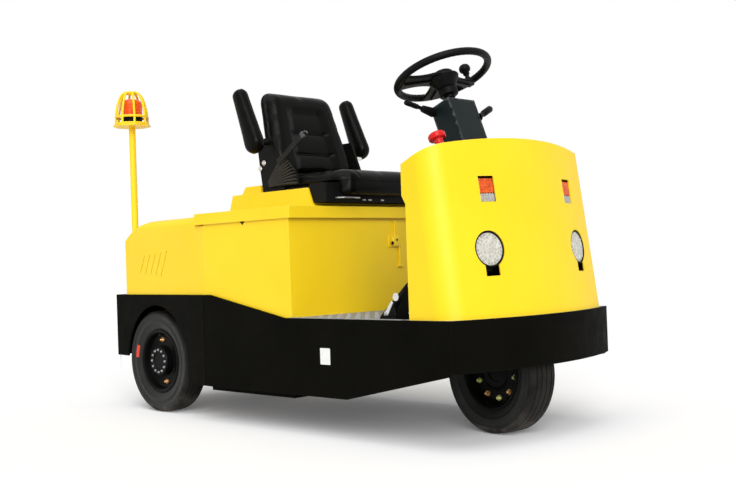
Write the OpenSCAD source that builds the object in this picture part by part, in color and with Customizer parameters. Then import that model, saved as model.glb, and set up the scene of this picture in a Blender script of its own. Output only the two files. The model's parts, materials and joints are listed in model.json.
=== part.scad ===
// Airport tow tractor: a three-wheel electric tug with its battery under the seat.
// Frame: +X forward, +Y left, +Z up. Origin on the ground, below the middle of the length and width.

/* [Overall] */
// Rear axle to king pin
wheelbase = 1482; // [1350:1:1700]
// Turning front tyre to the face of the front bumper
front_overhang = 23; // [20:1:105]
// Rear axle to the end of the tow jaw
rear_overhang = 420; // [400:1:520]
// Width over the side skirts
body_w = 844; // [800:1:1000]
// Radius of the curved nose in plan
nose_r = 1110; // [800:5:2000]
// Thickness of the skirt and fender plates
plate_t = 8; // [6:1:12]
// Thickness of the yellow sheet panels
sheet_t = 5; // [3:1:8]
// Gap between pieces that rest on each other
seat_gap = 0.3; // [0.1:0.1:1]

/* [Wheels] */
// Outer diameter of the tyres
tyre_d = 415; // [390:1:430]
// Width of a rear tyre
rear_tyre_w = 100; // [90:1:120]
// Width of the front tyre
front_tyre_w = 112; // [100:1:125]
// Bead seat diameter of the rims
rim_d = 240; // [200:1:260]
// Distance between the middles of the rear tyres
rear_track = 626; // [600:1:660]
// Radius of the rear spindles
spindle_r = 30; // [24:1:36]
// Radius of the front stub axle
stub_r = 22; // [18:1:28]
// Running clearance of every shaft, on the radius
running = 0.05; // [0.02:0.01:0.1]
// Steering angle as the tractor stands, right is negative
steer_rest = -8.47; // [-20:0.01:20]

/* [Skirts and bumper] */
// Height of the footwell floor and of the bumper's top
floor_z = 400; // [385:1:440]
// Height of the skirt's lower edge
skirt_bottom = 136; // [110:1:180]
// Height of the skirt at the rear, and of the fenders
fender_top = 481; // [460:1:520]
// Height of the bumper's lower edge
bumper_bottom = 240; // [225:1:270]
// Thickness of the bumper plate
bumper_t = 10; // [8:1:16]
// How far the skirt's lower edge starts rising, behind the king pin
skirt_rise = 304; // [250:1:360]
// Thickness of the floor plate
floor_t = 6; // [4:1:8]

/* [Rear fenders and hood] */
// Rear axle to the bend where the body starts to taper
bend_ahead = 410; // [380:1:450]
// Taper of the rear body, each side
taper_a = 5; // [2:0.5:6]
// Rear axle to the back of the fenders
fender_back = 309; // [300:1:330]
// Height of the fenders' lower edge at the back
fender_bottom = 222; // [200:1:250]
// Radius of the wheel arch
arch_r = 250; // [235:1:255]
// Arch middle ahead of the axle
arch_ahead = 34; // [20:1:36]
// Height of the arch middle
arch_z = 187; // [180:1:215]
// Rear axle to the back of the hood
hood_back = 230; // [215:1:260]
// Top of the hood
hood_top = 782; // [770:1:800]
// Radius of the hood's falling back
hood_r = 437; // [380:1:500]
// Flat end of the hood's falling back, ahead of the axle
hood_flat = 15; // [0:1:40]
// Radius along the hood's upper edges
hood_edge_r = 34; // [20:1:40]
// Step from the skirt's face in to the yellow panels
panel_in = 10; // [9:1:16]
// Number of louvres on each side of the hood
louvres = 5; // [3:1:6]
// Distance between louvres
louvre_pitch = 45; // [34:1:48]

/* [Battery box and lid] */
// Length of the battery box
box_l = 495; // [460:1:540]
// Lower edge of the lid
lid_bottom = 747; // [735:1:755]
// Height of the lid
lid_h = 42; // [36:1:52]
// Lid's overhang past the box front
lid_over = 17; // [12:1:30]
// Lid's reach behind the bend
lid_back = 46; // [40:1:60]
// Height of the seat hump on the lid
hump_h = 70; // [55:1:85]
// Width of the hump
hump_w = 540; // [500:1:600]
// Radius of the lid hinge's pin
hinge_pin_r = 4; // [3:0.5:5]

/* [Cowl] */
// Cowl's rear edge behind the king pin
cowl_back = 20; // [5:1:40]
// Ledge from the bumper's face in to the cowl
cowl_in = 12; // [11:1:25]
// Lean of the cowl's front
cowl_lean = 8; // [5:0.5:10]
// Top of the cowl at the front
cowl_top = 967; // [930:1:1000]
// Slope of the cowl's top edge
cowl_slope = 24.5; // [18:0.5:28]
// Corner radius of the cowl
cowl_corner = 90; // [60:1:110]
// How far the cowl's upper sides reach further back
cowl_step = 15; // [5:1:30]
// Height where they start to
cowl_step_z = 773; // [720:1:820]
// Dash panel below the cowl's edge
dash_in = 14; // [8:1:24]
// Headlamp diameter
headlamp_d = 115; // [100:1:125]
// Distance between the headlamps
headlamp_span = 476; // [430:1:500]
// Height of the headlamps
headlamp_z = 616; // [590:1:640]
// Distance between the marker lamps
marker_span = 430; // [390:1:460]
// Height of the marker lamps
marker_z = 803; // [780:1:820]
// Width of a marker lamp
marker_w = 62; // [50:1:70]
// Height of a marker lamp
marker_h = 82; // [70:1:90]

/* [Steering] */
// Middle of the steering wheel behind the king pin
wheel_behind = 204; // [180:1:230]
// Height of the steering wheel's middle
wheel_z = 1227; // [1200:1:1250]
// Tilt of the column
column_tilt = 20.7; // [15:0.1:25]
// Outer radius of the steering wheel
steer_r = 178; // [165:1:190]
// Radius of the steering wheel's rim tube
rim_tube_r = 13; // [10:0.5:15]
// Width of the column cover
column_w = 140; // [120:1:160]
// Depth of the column cover
column_d = 88; // [80:1:100]
// Radius of the king pin
king_r = 30; // [26:1:36]

/* [Seat] */
// Width of the cushion
cushion_w = 424; // [400:1:440]
// Height of the cushion's top
cushion_top = 918; // [900:1:925]
// Radius of the cushion's front corners
cushion_corner = 80; // [40:1:110]
// Width of the seat back
back_w = 404; // [380:1:430]
// Width of the seat back at its top
back_top_w = 332; // [300:1:380]
// Length of the seat back
back_h = 345; // [310:1:370]
// Thickness of the seat back
back_t = 64; // [50:1:90]
// Lean of the seat back
back_lean = 17; // [10:0.5:20]
// Length of an armrest
arm_l = 272; // [240:1:290]
// Depth of an armrest at its pivot
arm_d = 92; // [70:1:100]
// Depth of an armrest at its tip
arm_tip_d = 60; // [50:1:80]
// Lean of a folded armrest
arm_lean = 22; // [15:0.5:25]
// Distance between the armrests' middles
arm_span = 560; // [540:1:600]

/* [Beacon] */
// Height of the beacon pole's top
pole_top = 1190; // [1120:1:1220]
// Radius of the pole
pole_r = 13.5; // [11:0.5:16]
// Diameter of the plate under the beacon
beacon_plate_d = 160; // [150:1:170]
// Height of the cage
cage_h = 143; // [135:1:160]
// Number of bars in the cage
cage_bars = 8; // [6:1:8]

/* [Tow jaw] */
// Radius of the tow pin's bore
jaw_bore_r = 13; // [10:0.5:16]
// Height of the jaw's lowest plate
jaw_z = 268; // [255:1:290]
// Pitch of the jaw's plates
jaw_pitch = 68; // [60:1:72]
// Thickness of a jaw plate
jaw_t = 16; // [12:1:20]

/* [Hidden] */
$fn = 64;
eps = 0.01;
big = 3000;
axle_z = tyre_d / 2;
flange_top = floor_z - 10;
rail_top = floor_z - floor_t;
crown_z = tyre_d + 8;
crown_t = 14;
drum_t = 6;
drum_lip = 26;
drum_top = crown_z + crown_t + 8;
// Half the length of the front tyre where it passes the floor
tyre_chord = sqrt(max(0, pow(tyre_d / 2, 2) - pow(rail_top - axle_z, 2)));
drum_r = ceil(norm([tyre_chord, front_tyre_w / 2])) + 39;
nose_reach = max(ceil(norm([tyre_d / 2, front_tyre_w / 2])) + front_overhang,
    drum_r + drum_lip + cowl_in + sheet_t + (drum_top + 10 - floor_z) * tan(cowl_lean) + 2);
length = wheelbase + nose_reach + rear_overhang;
half_w = body_w / 2;
rear_x = -length / 2 + rear_overhang;
king_x = rear_x + wheelbase;
nose_x = king_x + nose_reach;
jaw_x = -length / 2;
bend_x = rear_x + bend_ahead;
fender_x = rear_x - fender_back;
hood_x = rear_x - hood_back;
box_x = bend_x + box_l;
lid_x0 = bend_x - lid_back;
lid_x1 = box_x + lid_over;
lid_top = lid_bottom + lid_h;
panel_w = half_w - panel_in;
lid_w = half_w - 1;
cowl_x = king_x - cowl_back;
skirt_in = half_w - plate_t;
tray_z = skirt_bottom - 16;
tray_t = 8;
spindle_y = rear_track / 2;
boss_r = king_r + 28;
boss_top = drum_top + 32;
wheel_x = king_x - wheel_behind;
dash_t = 6;
hump_top = lid_top + hump_h;
hinge_r = hinge_pin_r + 3;
hinge_gap = 2;
hinge_x = lid_x0 - hinge_r - hinge_gap;
hood_x1 = hinge_x - hinge_r - hinge_gap;
hinge_z = hood_top - 3;
hinge_knuckle = 80;
pan_top = hump_top + 14;
back_x = lid_x1 - 300;
back_z = cushion_top + 12;
back_waist = 90;
arm_w = 60;
arm_pivot = [back_x - 53, back_z + 122];
arm_pin_r = 9;
frame_t = 10;
frame_y = max(back_w / 2, cushion_w / 2 - frame_t) + seat_gap;
bellows_t = 12;
bellows = [back_x - 68, hump_top + 22];
apron_x = lid_x1 + 18;
kick_x = cowl_x + 4;
dash_x = nose_x - cowl_in - (cowl_top - floor_z) * tan(cowl_lean);
function dash_z(x) = cowl_top - dash_in - (dash_x - x) * tan(cowl_slope);
nose_arc = nose_r - cowl_in;
stop_y = panel_w - 86;
stop_x = dash_x - nose_arc + sqrt(nose_arc * nose_arc - stop_y * stop_y) - 28.8018;
pole_x = rear_x - 173;
pole_y = -(half_w - 82);
plate_top = pole_top + 6;
beacon_base_h = 37;
rail_w = 60;
rail_y = half_w - 92;
gear_face = 96;

yellow = [0.98, 0.80, 0.08];
charcoal = [0.08, 0.08, 0.09];
grey = [0.62, 0.63, 0.64];
steel = [0.45, 0.46, 0.48];
vinyl = [0.05, 0.05, 0.05];

// Mirrors a right-hand piece to the left side
module hand(side) {
    if (side < 0) children();
    else mirror([0, 1, 0]) children();
}

// Lays a side outline, drawn in X and Z, into a plate from y0 towards -Y
module side_plate(y0, t) {
    translate([0, y0, 0]) rotate([90, 0, 0]) linear_extrude(t) children();
}

// A side outline extruded across the body, w wide
module across(w) {
    side_plate(w / 2, w) children();
}

// Outline from width w0 at the bottom to w1 at height h, with corner radii r0 and r1
module tapered_round(w0, w1, h, r0, r1) {
    slope = atan((w0 - w1) / 2 / h);
    x0 = w0 / 2 - r0 * tan(slope) - r0 / cos(slope);
    x1 = w1 / 2 + r1 * tan(slope) - r1 / cos(slope);
    edge0 = [x0 + r0 * cos(slope), r0 + r0 * sin(slope)];
    edge1 = [x1 + r1 * cos(slope), h - r1 + r1 * sin(slope)];
    polygon([[-x0, 0], [x0, 0], edge0, edge1, [x1, h], [-x1, h], [-edge1[0], edge1[1]],
        [-edge0[0], edge0[1]]]);
    for (s = [-1, 1]) {
        translate([s * x0, r0]) circle(r0);
        translate([s * x1, h - r1]) circle(r1);
    }
}

// Rounded rectangle with its middle at the origin
module round_rect(w, h, r) {
    square([w - 2 * r, h], center = true);
    square([w, h - 2 * r], center = true);
    for (i = [-1, 1], j = [-1, 1]) translate([i * (w / 2 - r), j * (h / 2 - r)]) circle(r);
}

// Plan of the tapered rear body from x0 to x1, set in from the fender's face
module rear_plan(inset, x0, x1) {
    y0 = half_w - inset / cos(taper_a) - (bend_x - x0) * tan(taper_a);
    y1 = half_w - inset / cos(taper_a) - (bend_x - x1) * tan(taper_a);
    polygon([[x0, -y0], [x1, -y1], [x1, y1], [x0, y0]]);
}

// Plan of the nose, set in from the bumper's face
module nose_plan(inset, side_in, x0) {
    intersection() {
        translate([nose_x - nose_r, 0]) circle(nose_r - inset, $fn = 180);
        translate([x0, -half_w + side_in]) square([big, body_w - 2 * side_in]);
    }
}

// Welded frame: battery tray, rear rails over the axle and front rails to the bumper
module chassis_frame() color(charcoal) {
    difference() {
        union() {
            translate([bend_x, -skirt_in, flange_top - tray_t]) cube([box_l, 2 * skirt_in, tray_t]);
            translate([bend_x + 10, -skirt_in + 14, tray_z])
                cube([box_l - 20, 2 * skirt_in - 28, flange_top - tray_z]);
        }
        translate([bend_x + 10 + tray_t, -skirt_in + 14 + tray_t, tray_z + tray_t])
            cube([box_l - 20 - 2 * tray_t, 2 * skirt_in - 28 - 2 * tray_t, big]);
    }
    for (side = [-1, 1]) hand(side) {
        translate([fender_x + bumper_t, -210, flange_top - 100])
            cube([bend_x + 10 - fender_x - bumper_t, 60, 100]);
        intersection() {
            translate([0, -rail_y, rail_top - 94]) {
                translate([box_x - 10, 0, 0]) cube([big, rail_w, flange_top - rail_top + 94]);
                translate([box_x + seat_gap, 0, 0]) cube([big, rail_w, 94]);
            }
            linear_extrude(big) nose_plan(bumper_t, 0, box_x - 10);
        }
    }
    translate([king_x - 300, -rail_y + rail_w, rail_top - 60]) cube([50, 2 * (rail_y - rail_w), 60]);
}

module skirt_outline() {
    polygon([[bend_x, skirt_bottom], [king_x - skirt_rise, skirt_bottom],
        [nose_x - 60, bumper_bottom], [nose_x, bumper_bottom], [nose_x, floor_z], [box_x - 28, floor_z],
        [bend_x + 39, fender_top], [bend_x, fender_top]]);
}

module skirt(side) color(charcoal) hand(side) intersection() {
    side_plate(-skirt_in, plate_t) skirt_outline();
    linear_extrude(big) nose_plan(bumper_t, -1, bend_x - 1);
}

module front_bumper() color(charcoal)
    translate([0, 0, bumper_bottom]) linear_extrude(floor_z - bumper_bottom) difference() {
        nose_plan(0, 0, king_x);
        nose_plan(bumper_t, -1, king_x - 1);
    }

module fender(side) color(charcoal) hand(side)
    translate([bend_x, -half_w, 0]) rotate([0, 0, -taper_a]) side_plate(plate_t, plate_t) difference() {
        reach = (bend_x - fender_x) / cos(taper_a);
        polygon([[-3, skirt_bottom], [-3, fender_top], [-reach, fender_top], [-reach, fender_bottom],
            [-bend_ahead, fender_bottom], [-bend_ahead, skirt_bottom]]);
        translate([-(bend_ahead - arch_ahead) / cos(taper_a), arch_z]) circle(arch_r, $fn = 120);
    }

// Rear plate with the deck that closes the ledge behind the hood
module rear_plate() color(charcoal) {
    translate([0, 0, fender_bottom]) linear_extrude(fender_top - fender_bottom)
        rear_plan(plate_t, fender_x, fender_x + bumper_t);
    translate([0, 0, fender_top - plate_t]) linear_extrude(plate_t)
        rear_plan(plate_t, fender_x + bumper_t - eps, hood_x);
}

// Stepped tow jaw: three plates on a back plate, with the pin's bore through all of them
module tow_jaw() color(charcoal) {
    jaw_w = 110;
    pin_x = jaw_x + 44;
    difference() {
        union() {
            translate([fender_x - 14, -jaw_w / 2 - 25, jaw_z - 20])
                cube([14, jaw_w + 50, 2 * jaw_pitch + jaw_t + 40]);
            for (i = [0 : 2]) translate([0, 0, jaw_z + i * jaw_pitch]) linear_extrude(jaw_t) {
                translate([pin_x, 0]) circle(44);
                translate([pin_x, -44]) square([fender_x - 14 - pin_x + eps, 88]);
            }
        }
        translate([pin_x, 0, jaw_z - 1]) cylinder(r = jaw_bore_r, h = 2 * jaw_pitch + jaw_t + 2);
    }
}

// Side outline of the hood, set in by o
module hood_outline(o) {
    flat_x = rear_x + hood_flat;
    translate([flat_x - eps, fender_top - 100])
        square([hood_x1 - flat_x - o + eps, hood_top - o - fender_top + 100]);
    translate([flat_x - eps, fender_top - 100])
        square([bend_x - flat_x + 2 * o + eps, lid_bottom - 4 - o - fender_top + 100]);
    intersection() {
        translate([flat_x, hood_top - hood_r]) circle(hood_r - o, $fn = 180);
        translate([hood_x + o, fender_top - 100]) square([flat_x - hood_x - o, big]);
    }
}

module hood_form(o) intersection() {
    across(body_w) hood_outline(o);
    translate([0, 0, fender_top - 16 - o]) linear_extrude(big)
        rear_plan(panel_in + o, hood_x - 1, bend_x + o);
}

// Hood with its upper side edges rounded, set in by o
module hood_solid(o) difference() {
    hood_form(o);
    for (side = [-1, 1]) hand(side)
        translate([bend_x, -half_w + panel_in, hood_top - hood_edge_r]) rotate([0, 0, -taper_a])
            difference() {
            translate([-big, -20, 0]) cube([big + 50, hood_edge_r + 20, hood_edge_r + 20]);
            translate([-big - 1, hood_edge_r, 0]) rotate([0, 90, 0])
                cylinder(r = hood_edge_r - o, h = big + 60);
        }
}

module louvre_slots()
    for (i = [0 : louvres - 1])
        translate([rear_x - 86 + i * louvre_pitch, -half_w, 606]) rotate([0, 28, 0])
            translate([0, -20, -42 - i * 4]) cube([5, 120, 84 + i * 8]);

// Rear hood over the drive: a tapered shell with a falling back and slanted louvres
module rear_hood() color(yellow) difference() {
    hood_solid(0);
    hood_solid(sheet_t);
    for (side = [-1, 1]) hand(side) louvre_slots();
}

// Fixed half of the lid's piano hinge, with the pin
module lid_hinge() color(steel) {
    translate([hinge_x, -2.5 * hinge_knuckle, hinge_z]) rotate([-90, 0, 0])
        cylinder(r = hinge_pin_r, h = 5 * hinge_knuckle);
    for (i = [0, 2, 4]) translate([hinge_x, (i - 2.5) * hinge_knuckle + 1, hinge_z]) rotate([-90, 0, 0]) {
        cylinder(r = hinge_r, h = hinge_knuckle - 2);
        translate([hood_x1 - hinge_x, -2, 0]) cube([hinge_x - hood_x1, 4, hinge_knuckle - 2]);
    }
}

module battery_box() color(yellow) difference() {
    translate([bend_x, -panel_w, flange_top])
        cube([box_l, 2 * panel_w, lid_top - sheet_t - seat_gap - flange_top]);
    translate([bend_x + sheet_t, -panel_w + sheet_t, 0])
        cube([box_l - 2 * sheet_t, 2 * panel_w - 2 * sheet_t, big]);
    translate([bend_x + 237, 0, lid_bottom]) side_plate(-panel_w + sheet_t + 1, sheet_t + 2)
        polygon([[-40, 26], [40, 26], [0, -14]]);
}

module hump_outline(o) {
    polygon([[lid_x0 + 22 + o, lid_top - sheet_t - 1], [lid_x0 + 50 + o, hump_top - o],
        [lid_x1 - 74 - o, hump_top - o], [lid_x1 - 45 - o, lid_top - sheet_t - 1]]);
}

// Lid over the battery: a folded tray with the seat hump raised in it
module battery_lid() color(yellow) {
    difference() {
        union() {
            translate([lid_x0, -lid_w, lid_bottom]) cube([lid_x1 - lid_x0, 2 * lid_w, lid_h]);
            across(hump_w) hump_outline(0);
            across(hump_w - 110) polygon([[lid_x0 + 34, hump_top - 1], [lid_x0 + 62, hump_top + 34],
                [back_x - back_t - 40, hump_top + 34], [back_x - back_t - 40, hump_top - 1]]);
        }
        translate([lid_x0 + sheet_t, -lid_w + sheet_t, lid_bottom - 1])
            cube([lid_x1 - lid_x0 - 2 * sheet_t, 2 * lid_w - 2 * sheet_t, lid_h - sheet_t + 1]);
        across(hump_w - 2 * sheet_t) hump_outline(sheet_t);
    }
    difference() {
        for (i = [1, 3]) translate([hinge_x, (i - 2.5) * hinge_knuckle + 1, hinge_z]) rotate([-90, 0, 0]) {
            cylinder(r = hinge_r, h = hinge_knuckle - 2);
            translate([0, -2, 0]) cube([lid_x0 - hinge_x + 1, 4, hinge_knuckle - 2]);
        }
        translate([hinge_x, -big / 2, hinge_z]) rotate([-90, 0, 0])
            cylinder(r = hinge_pin_r + running, h = big);
    }
}

// Toggle latch on the front wall of the battery box
module lid_latch() color(yellow) translate([box_x, 110, lid_bottom]) {
    translate([0, -29, -111]) cube([14, 58, 44]);
    translate([0, 0, -68]) cube([7, 12, 62]);
    translate([0, 26, -184]) cube([7, 8, 74]);
    translate([0, 16, -187]) cube([7, 28, 8]);
}

module battery() color(steel)
    translate([bend_x + 10 + tray_t + 8, -skirt_in + 34, tray_z + tray_t])
        cube([box_l - 20 - 2 * tray_t - 16, 2 * skirt_in - 68, lid_bottom - 59 - tray_z - tray_t]);

// Drive axle with its spindles, gear housing and mounting pads below the rails
module drive_axle() color(charcoal) translate([rear_x, 0, axle_z]) {
    rotate([90, 0, 0]) {
        cylinder(r = 42, h = 2 * (spindle_y - 62), center = true);
        cylinder(r = 92, h = 110, center = true);
        cylinder(r = spindle_r, h = 2 * (spindle_y + 10), center = true);
        for (s = [-1, 1]) translate([0, 0, s * (spindle_y - 66)]) cylinder(r = 62, h = 12, center = true);
    }
    rotate([0, 90, 0]) cylinder(r = 84, h = gear_face);
    for (s = [-1, 1]) translate([-35, s * 180 - 30, 0]) cube([70, 60, flange_top - 100 - axle_z]);
}

module drive_motor() color(steel) translate([rear_x + gear_face, 0, axle_z]) rotate([0, 90, 0]) {
    cylinder(r = 78, h = bend_ahead - gear_face - 16);
    translate([0, 0, bend_ahead - gear_face - 16]) cylinder(r = 60, h = 18);
}

// Tyre section: rounded carcass, bead seats and ribs round the tread
module tyre_section(w) difference() {
    translate([(tyre_d + rim_d) / 4, 0]) round_rect((tyre_d - rim_d) / 2, w, 26);
    for (s = [-1, 1]) translate([rim_d / 2 + 7 - eps, s * (w / 2 - 7)])
        square([14, 14 + eps], center = true);
    for (i = [-1.5 : 1 : 1.5]) translate([tyre_d / 2, i * (w - 40) / 4]) square([10, 4], center = true);
}

module tyre(w) rotate([90, 0, 0]) rotate_extrude($fn = 96) tyre_section(w);

// Rim: flanged barrel, dished disc, hub and a ring of nuts, outer side towards +Y of this module
module rim(w, shaft_r, shaft_end, nuts, nut_ring) rotate([-90, 0, 0]) difference() {
    seat_r = rim_d / 2 - seat_gap;
    seat_w = w - 28;
    union() {
        rotate_extrude($fn = 96) {
            translate([seat_r - 6, -seat_w / 2 - 3]) square([6, seat_w + 6]);
            for (s = [-1, 1]) translate([seat_r - 6, s * (seat_w / 2 + seat_gap + 3) - 3]) square([18, 6]);
            translate([0, 4]) square([seat_r - 3, 8]);
            translate([0, -w / 2 + 6]) square([shaft_r + 16, w / 2 + 12]);
            translate([0, 10]) square([shaft_r + 18, shaft_end - 4]);
        }
        for (i = [0 : nuts - 1]) rotate(i * 360 / nuts) translate([nut_ring, 0, 10])
            cylinder(r = 9, h = 12, $fn = 6);
    }
    translate([0, 0, -w]) cylinder(r = shaft_r + running, h = w + shaft_end);
}

module rear_wheel_place(side) translate([rear_x, side * spindle_y, axle_z]) hand(-side) children();

module rear_rim(side) color(charcoal) rear_wheel_place(side)
    rim(rear_tyre_w, spindle_r, 10 + seat_gap, 6, spindle_r + 56);

module rear_tyre(side) color(vinyl) rear_wheel_place(side) tyre(rear_tyre_w);

module floor_plate() color(grey) translate([0, 0, floor_z - floor_t]) linear_extrude(floor_t) difference() {
    nose_plan(bumper_t, plate_t, box_x + seat_gap);
    translate([king_x, 0]) circle(drum_r);
}

// Drum over the front wheel that carries the king pin's bearing
module steer_drum() color(charcoal) translate([king_x, 0, 0]) difference() {
    union() {
        translate([0, 0, floor_z]) cylinder(r = drum_r + drum_lip, h = 6);
        translate([0, 0, floor_z]) cylinder(r = drum_r + drum_t, h = drum_top + 10 - floor_z);
        translate([0, 0, drum_top]) cylinder(r = boss_r, h = boss_top - drum_top);
    }
    translate([0, 0, floor_z - 1]) cylinder(r = drum_r, h = drum_top - floor_z + 1);
    cylinder(r = king_r + running, h = big);
}

module steered() translate([king_x, 0, 0]) rotate(steer_rest) children();

// One-sided fork: king pin, crown and a leg on the left that carries the stub axle
module fork() color(charcoal) steered() {
    leg_y = front_tyre_w / 2 + 22;
    translate([0, 0, crown_z]) cylinder(r = king_r, h = boss_top - crown_z + 6);
    translate([0, 0, crown_z]) cylinder(r = boss_r, h = crown_t);
    translate([-35, 0, crown_z]) cube([70, leg_y + 11, crown_t]);
    translate([-35, leg_y - 11, axle_z]) cube([70, 22, crown_z + crown_t - axle_z]);
    translate([0, leg_y + 11, axle_z]) rotate([90, 0, 0]) {
        cylinder(r = 35, h = 22);
        cylinder(r = stub_r, h = leg_y + 11 + 10);
    }
}

module front_rim() color(charcoal) steered() translate([0, 0, axle_z]) mirror([0, 1, 0])
    rim(front_tyre_w, stub_r, 10 + seat_gap, 5, stub_r + 30);

module front_tyre() color(vinyl) steered() translate([0, 0, axle_z]) tyre(front_tyre_w);

// Plan of the cowl, set in by o: a nose arc run into the sides by corner arcs
module cowl_plan(o) {
    arc_r = nose_r - cowl_in;
    side = panel_w - 1;
    mid_y = side - cowl_corner;
    mid_x = sqrt(pow(arc_r - cowl_corner, 2) - mid_y * mid_y) - arc_r;
    turn = asin(mid_y / (arc_r - cowl_corner));
    difference() {
        intersection() {
            translate([-arc_r, 0]) circle(arc_r - o, $fn = 180);
            translate([-700, -side + o]) square([800, 2 * side - 2 * o]);
        }
        for (s = [-1, 1]) translate([mid_x, s * mid_y]) difference() {
            polygon([[0, 0], [0, s * 200], [200, s * 200], [300 * cos(turn), s * 300 * sin(turn)]]);
            circle(cowl_corner - o);
        }
    }
}

// Cowl's leaning prism
module cowl_prism(o) translate([nose_x - cowl_in, 0, floor_z]) rotate([0, -cowl_lean, 0])
    translate([0, 0, -200]) linear_extrude(1000) cowl_plan(o);

// Half space below the sloping top edge, lowered by o
module below_top(o) translate([dash_x, 0, cowl_top - o])
    rotate([0, -cowl_slope, 0]) translate([-big / 2, -big / 2, -big]) cube([big, big, big]);

// A place on the cowl's curved face, y off the middle and at height z, with +Z outwards and +X down
module on_cowl(y, z) {
    arc_r = nose_r - cowl_in;
    translate([nose_x - cowl_in, 0, floor_z]) rotate([0, -cowl_lean, 0])
        translate([-arc_r, 0, (z - floor_z) / cos(cowl_lean)]) rotate(asin(y / arc_r))
            translate([arc_r, 0, 0]) rotate([0, 90, 0]) children();
}

module headlamp_at(side) on_cowl(side * headlamp_span / 2, headlamp_z) children();

module marker_at(side) on_cowl(side * marker_span / 2, marker_z) children();

// Side outline of the space the cowl fills: its upper sides step further back
module cowl_reach() polygon([[cowl_x, floor_z], [nose_x, floor_z], [nose_x, big], [cowl_x - cowl_step, big],
    [cowl_x - cowl_step, cowl_step_z + 13], [cowl_x, cowl_step_z - 13]]);

// Front cowl: a bent sheet shell, open to the rear, with the lamp cut-outs
module cowl() color(yellow) difference() {
    intersection() {
        cowl_prism(0);
        below_top(0);
        across(body_w) cowl_reach();
    }
    cowl_prism(sheet_t);
    for (side = [-1, 1]) {
        headlamp_at(side) {
            translate([0, 0, -60]) cylinder(r = headlamp_d / 2 + seat_gap, h = 100);
            translate([0, -28, -60]) cube([headlamp_d / 2 + 27, 56, 100]);
        }
        marker_at(side) translate([-marker_h / 2 - seat_gap, -marker_w / 2 - seat_gap, -60])
            cube([marker_h + 2 * seat_gap, marker_w + 2 * seat_gap, 100]);
    }
}

// Column cover's space, grown by o
module column_form(o) translate([wheel_x, 0, wheel_z]) rotate([0, -column_tilt, 0])
    translate([-column_d / 2 - o, -column_w / 2 - o, -500 - o])
        cube([column_d + 2 * o, column_w + 2 * o, 385 + 2 * o]);

// Side outline of the kick panel and the sloping dash above it
module dash_outline() {
    drop = dash_t / cos(cowl_slope);
    polygon([[kick_x, floor_z], [kick_x, dash_z(kick_x)], [nose_x, dash_z(nose_x)],
        [nose_x, dash_z(nose_x) - drop],
        [kick_x + dash_t, dash_z(kick_x + dash_t) - drop], [kick_x + dash_t, floor_z]]);
}

// Kick panel and dash inside the cowl, cut out for the column and the drum
module dash_panel() color(charcoal) difference() {
    intersection() {
        across(body_w) dash_outline();
        cowl_prism(sheet_t + seat_gap);
    }
    column_form(seat_gap);
    translate([king_x, 0, 0]) {
        cylinder(r = drum_r + drum_lip + 1, h = floor_z + 7);
        cylinder(r = drum_r + drum_t + seat_gap, h = drum_top + 10 + seat_gap);
        cylinder(r = boss_r + 4, h = boss_top + 10);
    }
}

module headlamp(side) color(grey) headlamp_at(side) {
    translate([0, 0, -24]) cylinder(r = headlamp_d / 2, h = 22);
    translate([0, 0, -54]) cylinder(r1 = 30, r2 = headlamp_d / 2 - 8, h = 31);
}

module marker(side) color([0.95, 0.45, 0.08]) marker_at(side)
    translate([-marker_h / 2, -marker_w / 2, -26]) cube([marker_h, marker_w, 23]);

module steering_column() color([0.16, 0.20, 0.22]) difference() {
    column_form(0);
    translate([wheel_x, 0, wheel_z]) rotate([0, -column_tilt, 0]) translate([0, 0, -190])
        cylinder(r = 12 + running, h = 200);
}

// Spokes of the steering wheel: angle, half width at the rim and half width at the waist
spokes = [[95, 30, 15], [152, 30, 15], [245, 46, 24]];

// A flat spoke that widens in arcs to the hub and to the rim
module spoke_outline(end, waist) {
    span = steer_r - rim_tube_r - 30;
    flare_r = (span * span / 4 + pow(end - waist, 2)) / (2 * (end - waist));
    difference() {
        translate([30, -end]) square([span, 2 * end]);
        for (s = [-1, 1]) translate([30 + span / 2, s * (waist + flare_r)]) circle(flare_r, $fn = 180);
    }
}

// Steering wheel with three flared spokes, turned hub, spinner knob and its shaft in the column
module steering_wheel() color(vinyl) translate([wheel_x, 0, wheel_z]) rotate([0, -column_tilt, 0]) {
    mid_r = steer_r - rim_tube_r;
    rotate_extrude($fn = 96) translate([mid_r, 0]) circle(rim_tube_r);
    rotate_extrude() polygon([[0, -170], [12, -170], [12, -104], [31, -104], [31, -62], [24, -55],
        [24, -30], [40, -14], [40, 14], [32, 22], [0, 22]]);
    translate([0, 0, -12]) linear_extrude(10) intersection() {
        for (spoke = spokes) rotate(spoke[0]) spoke_outline(spoke[1], spoke[2]);
        circle(mid_r - 4);
    }
    rotate(96) translate([mid_r, 0, 0]) {
        translate([-rim_tube_r - 5, -14, -rim_tube_r - 2])
            cube([2 * rim_tube_r + 7, 28, 2 * rim_tube_r + 4]);
        cylinder(r = 7, h = 40);
        translate([0, 0, 52]) sphere(21);
    }
}

// Lever columns: side, place along the cover's depth, place below the wheel, reach out and rise
levers = [[-1, -36, -134, 130, 29], [1, 36, -178, 82, 39]];

module column_levers() color(vinyl)
    translate([wheel_x, 0, wheel_z]) rotate([0, -column_tilt, 0])
        for (lever = levers) {
            reach = norm([lever[3], lever[4]]);
            translate([lever[1], lever[0] * column_w / 2, lever[2]]) {
                rotate([-lever[0] * 90, 0, 0]) cylinder(r = 15, h = 8);
                rotate([-lever[0] * (90 - atan2(lever[4], lever[3])), 0, 0]) {
                    translate([0, 0, 6]) cylinder(r = 6, h = reach - 6);
                    translate([0, 0, reach * 0.6]) cylinder(r = 9, h = reach * 0.4);
                }
            }
        }

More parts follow.
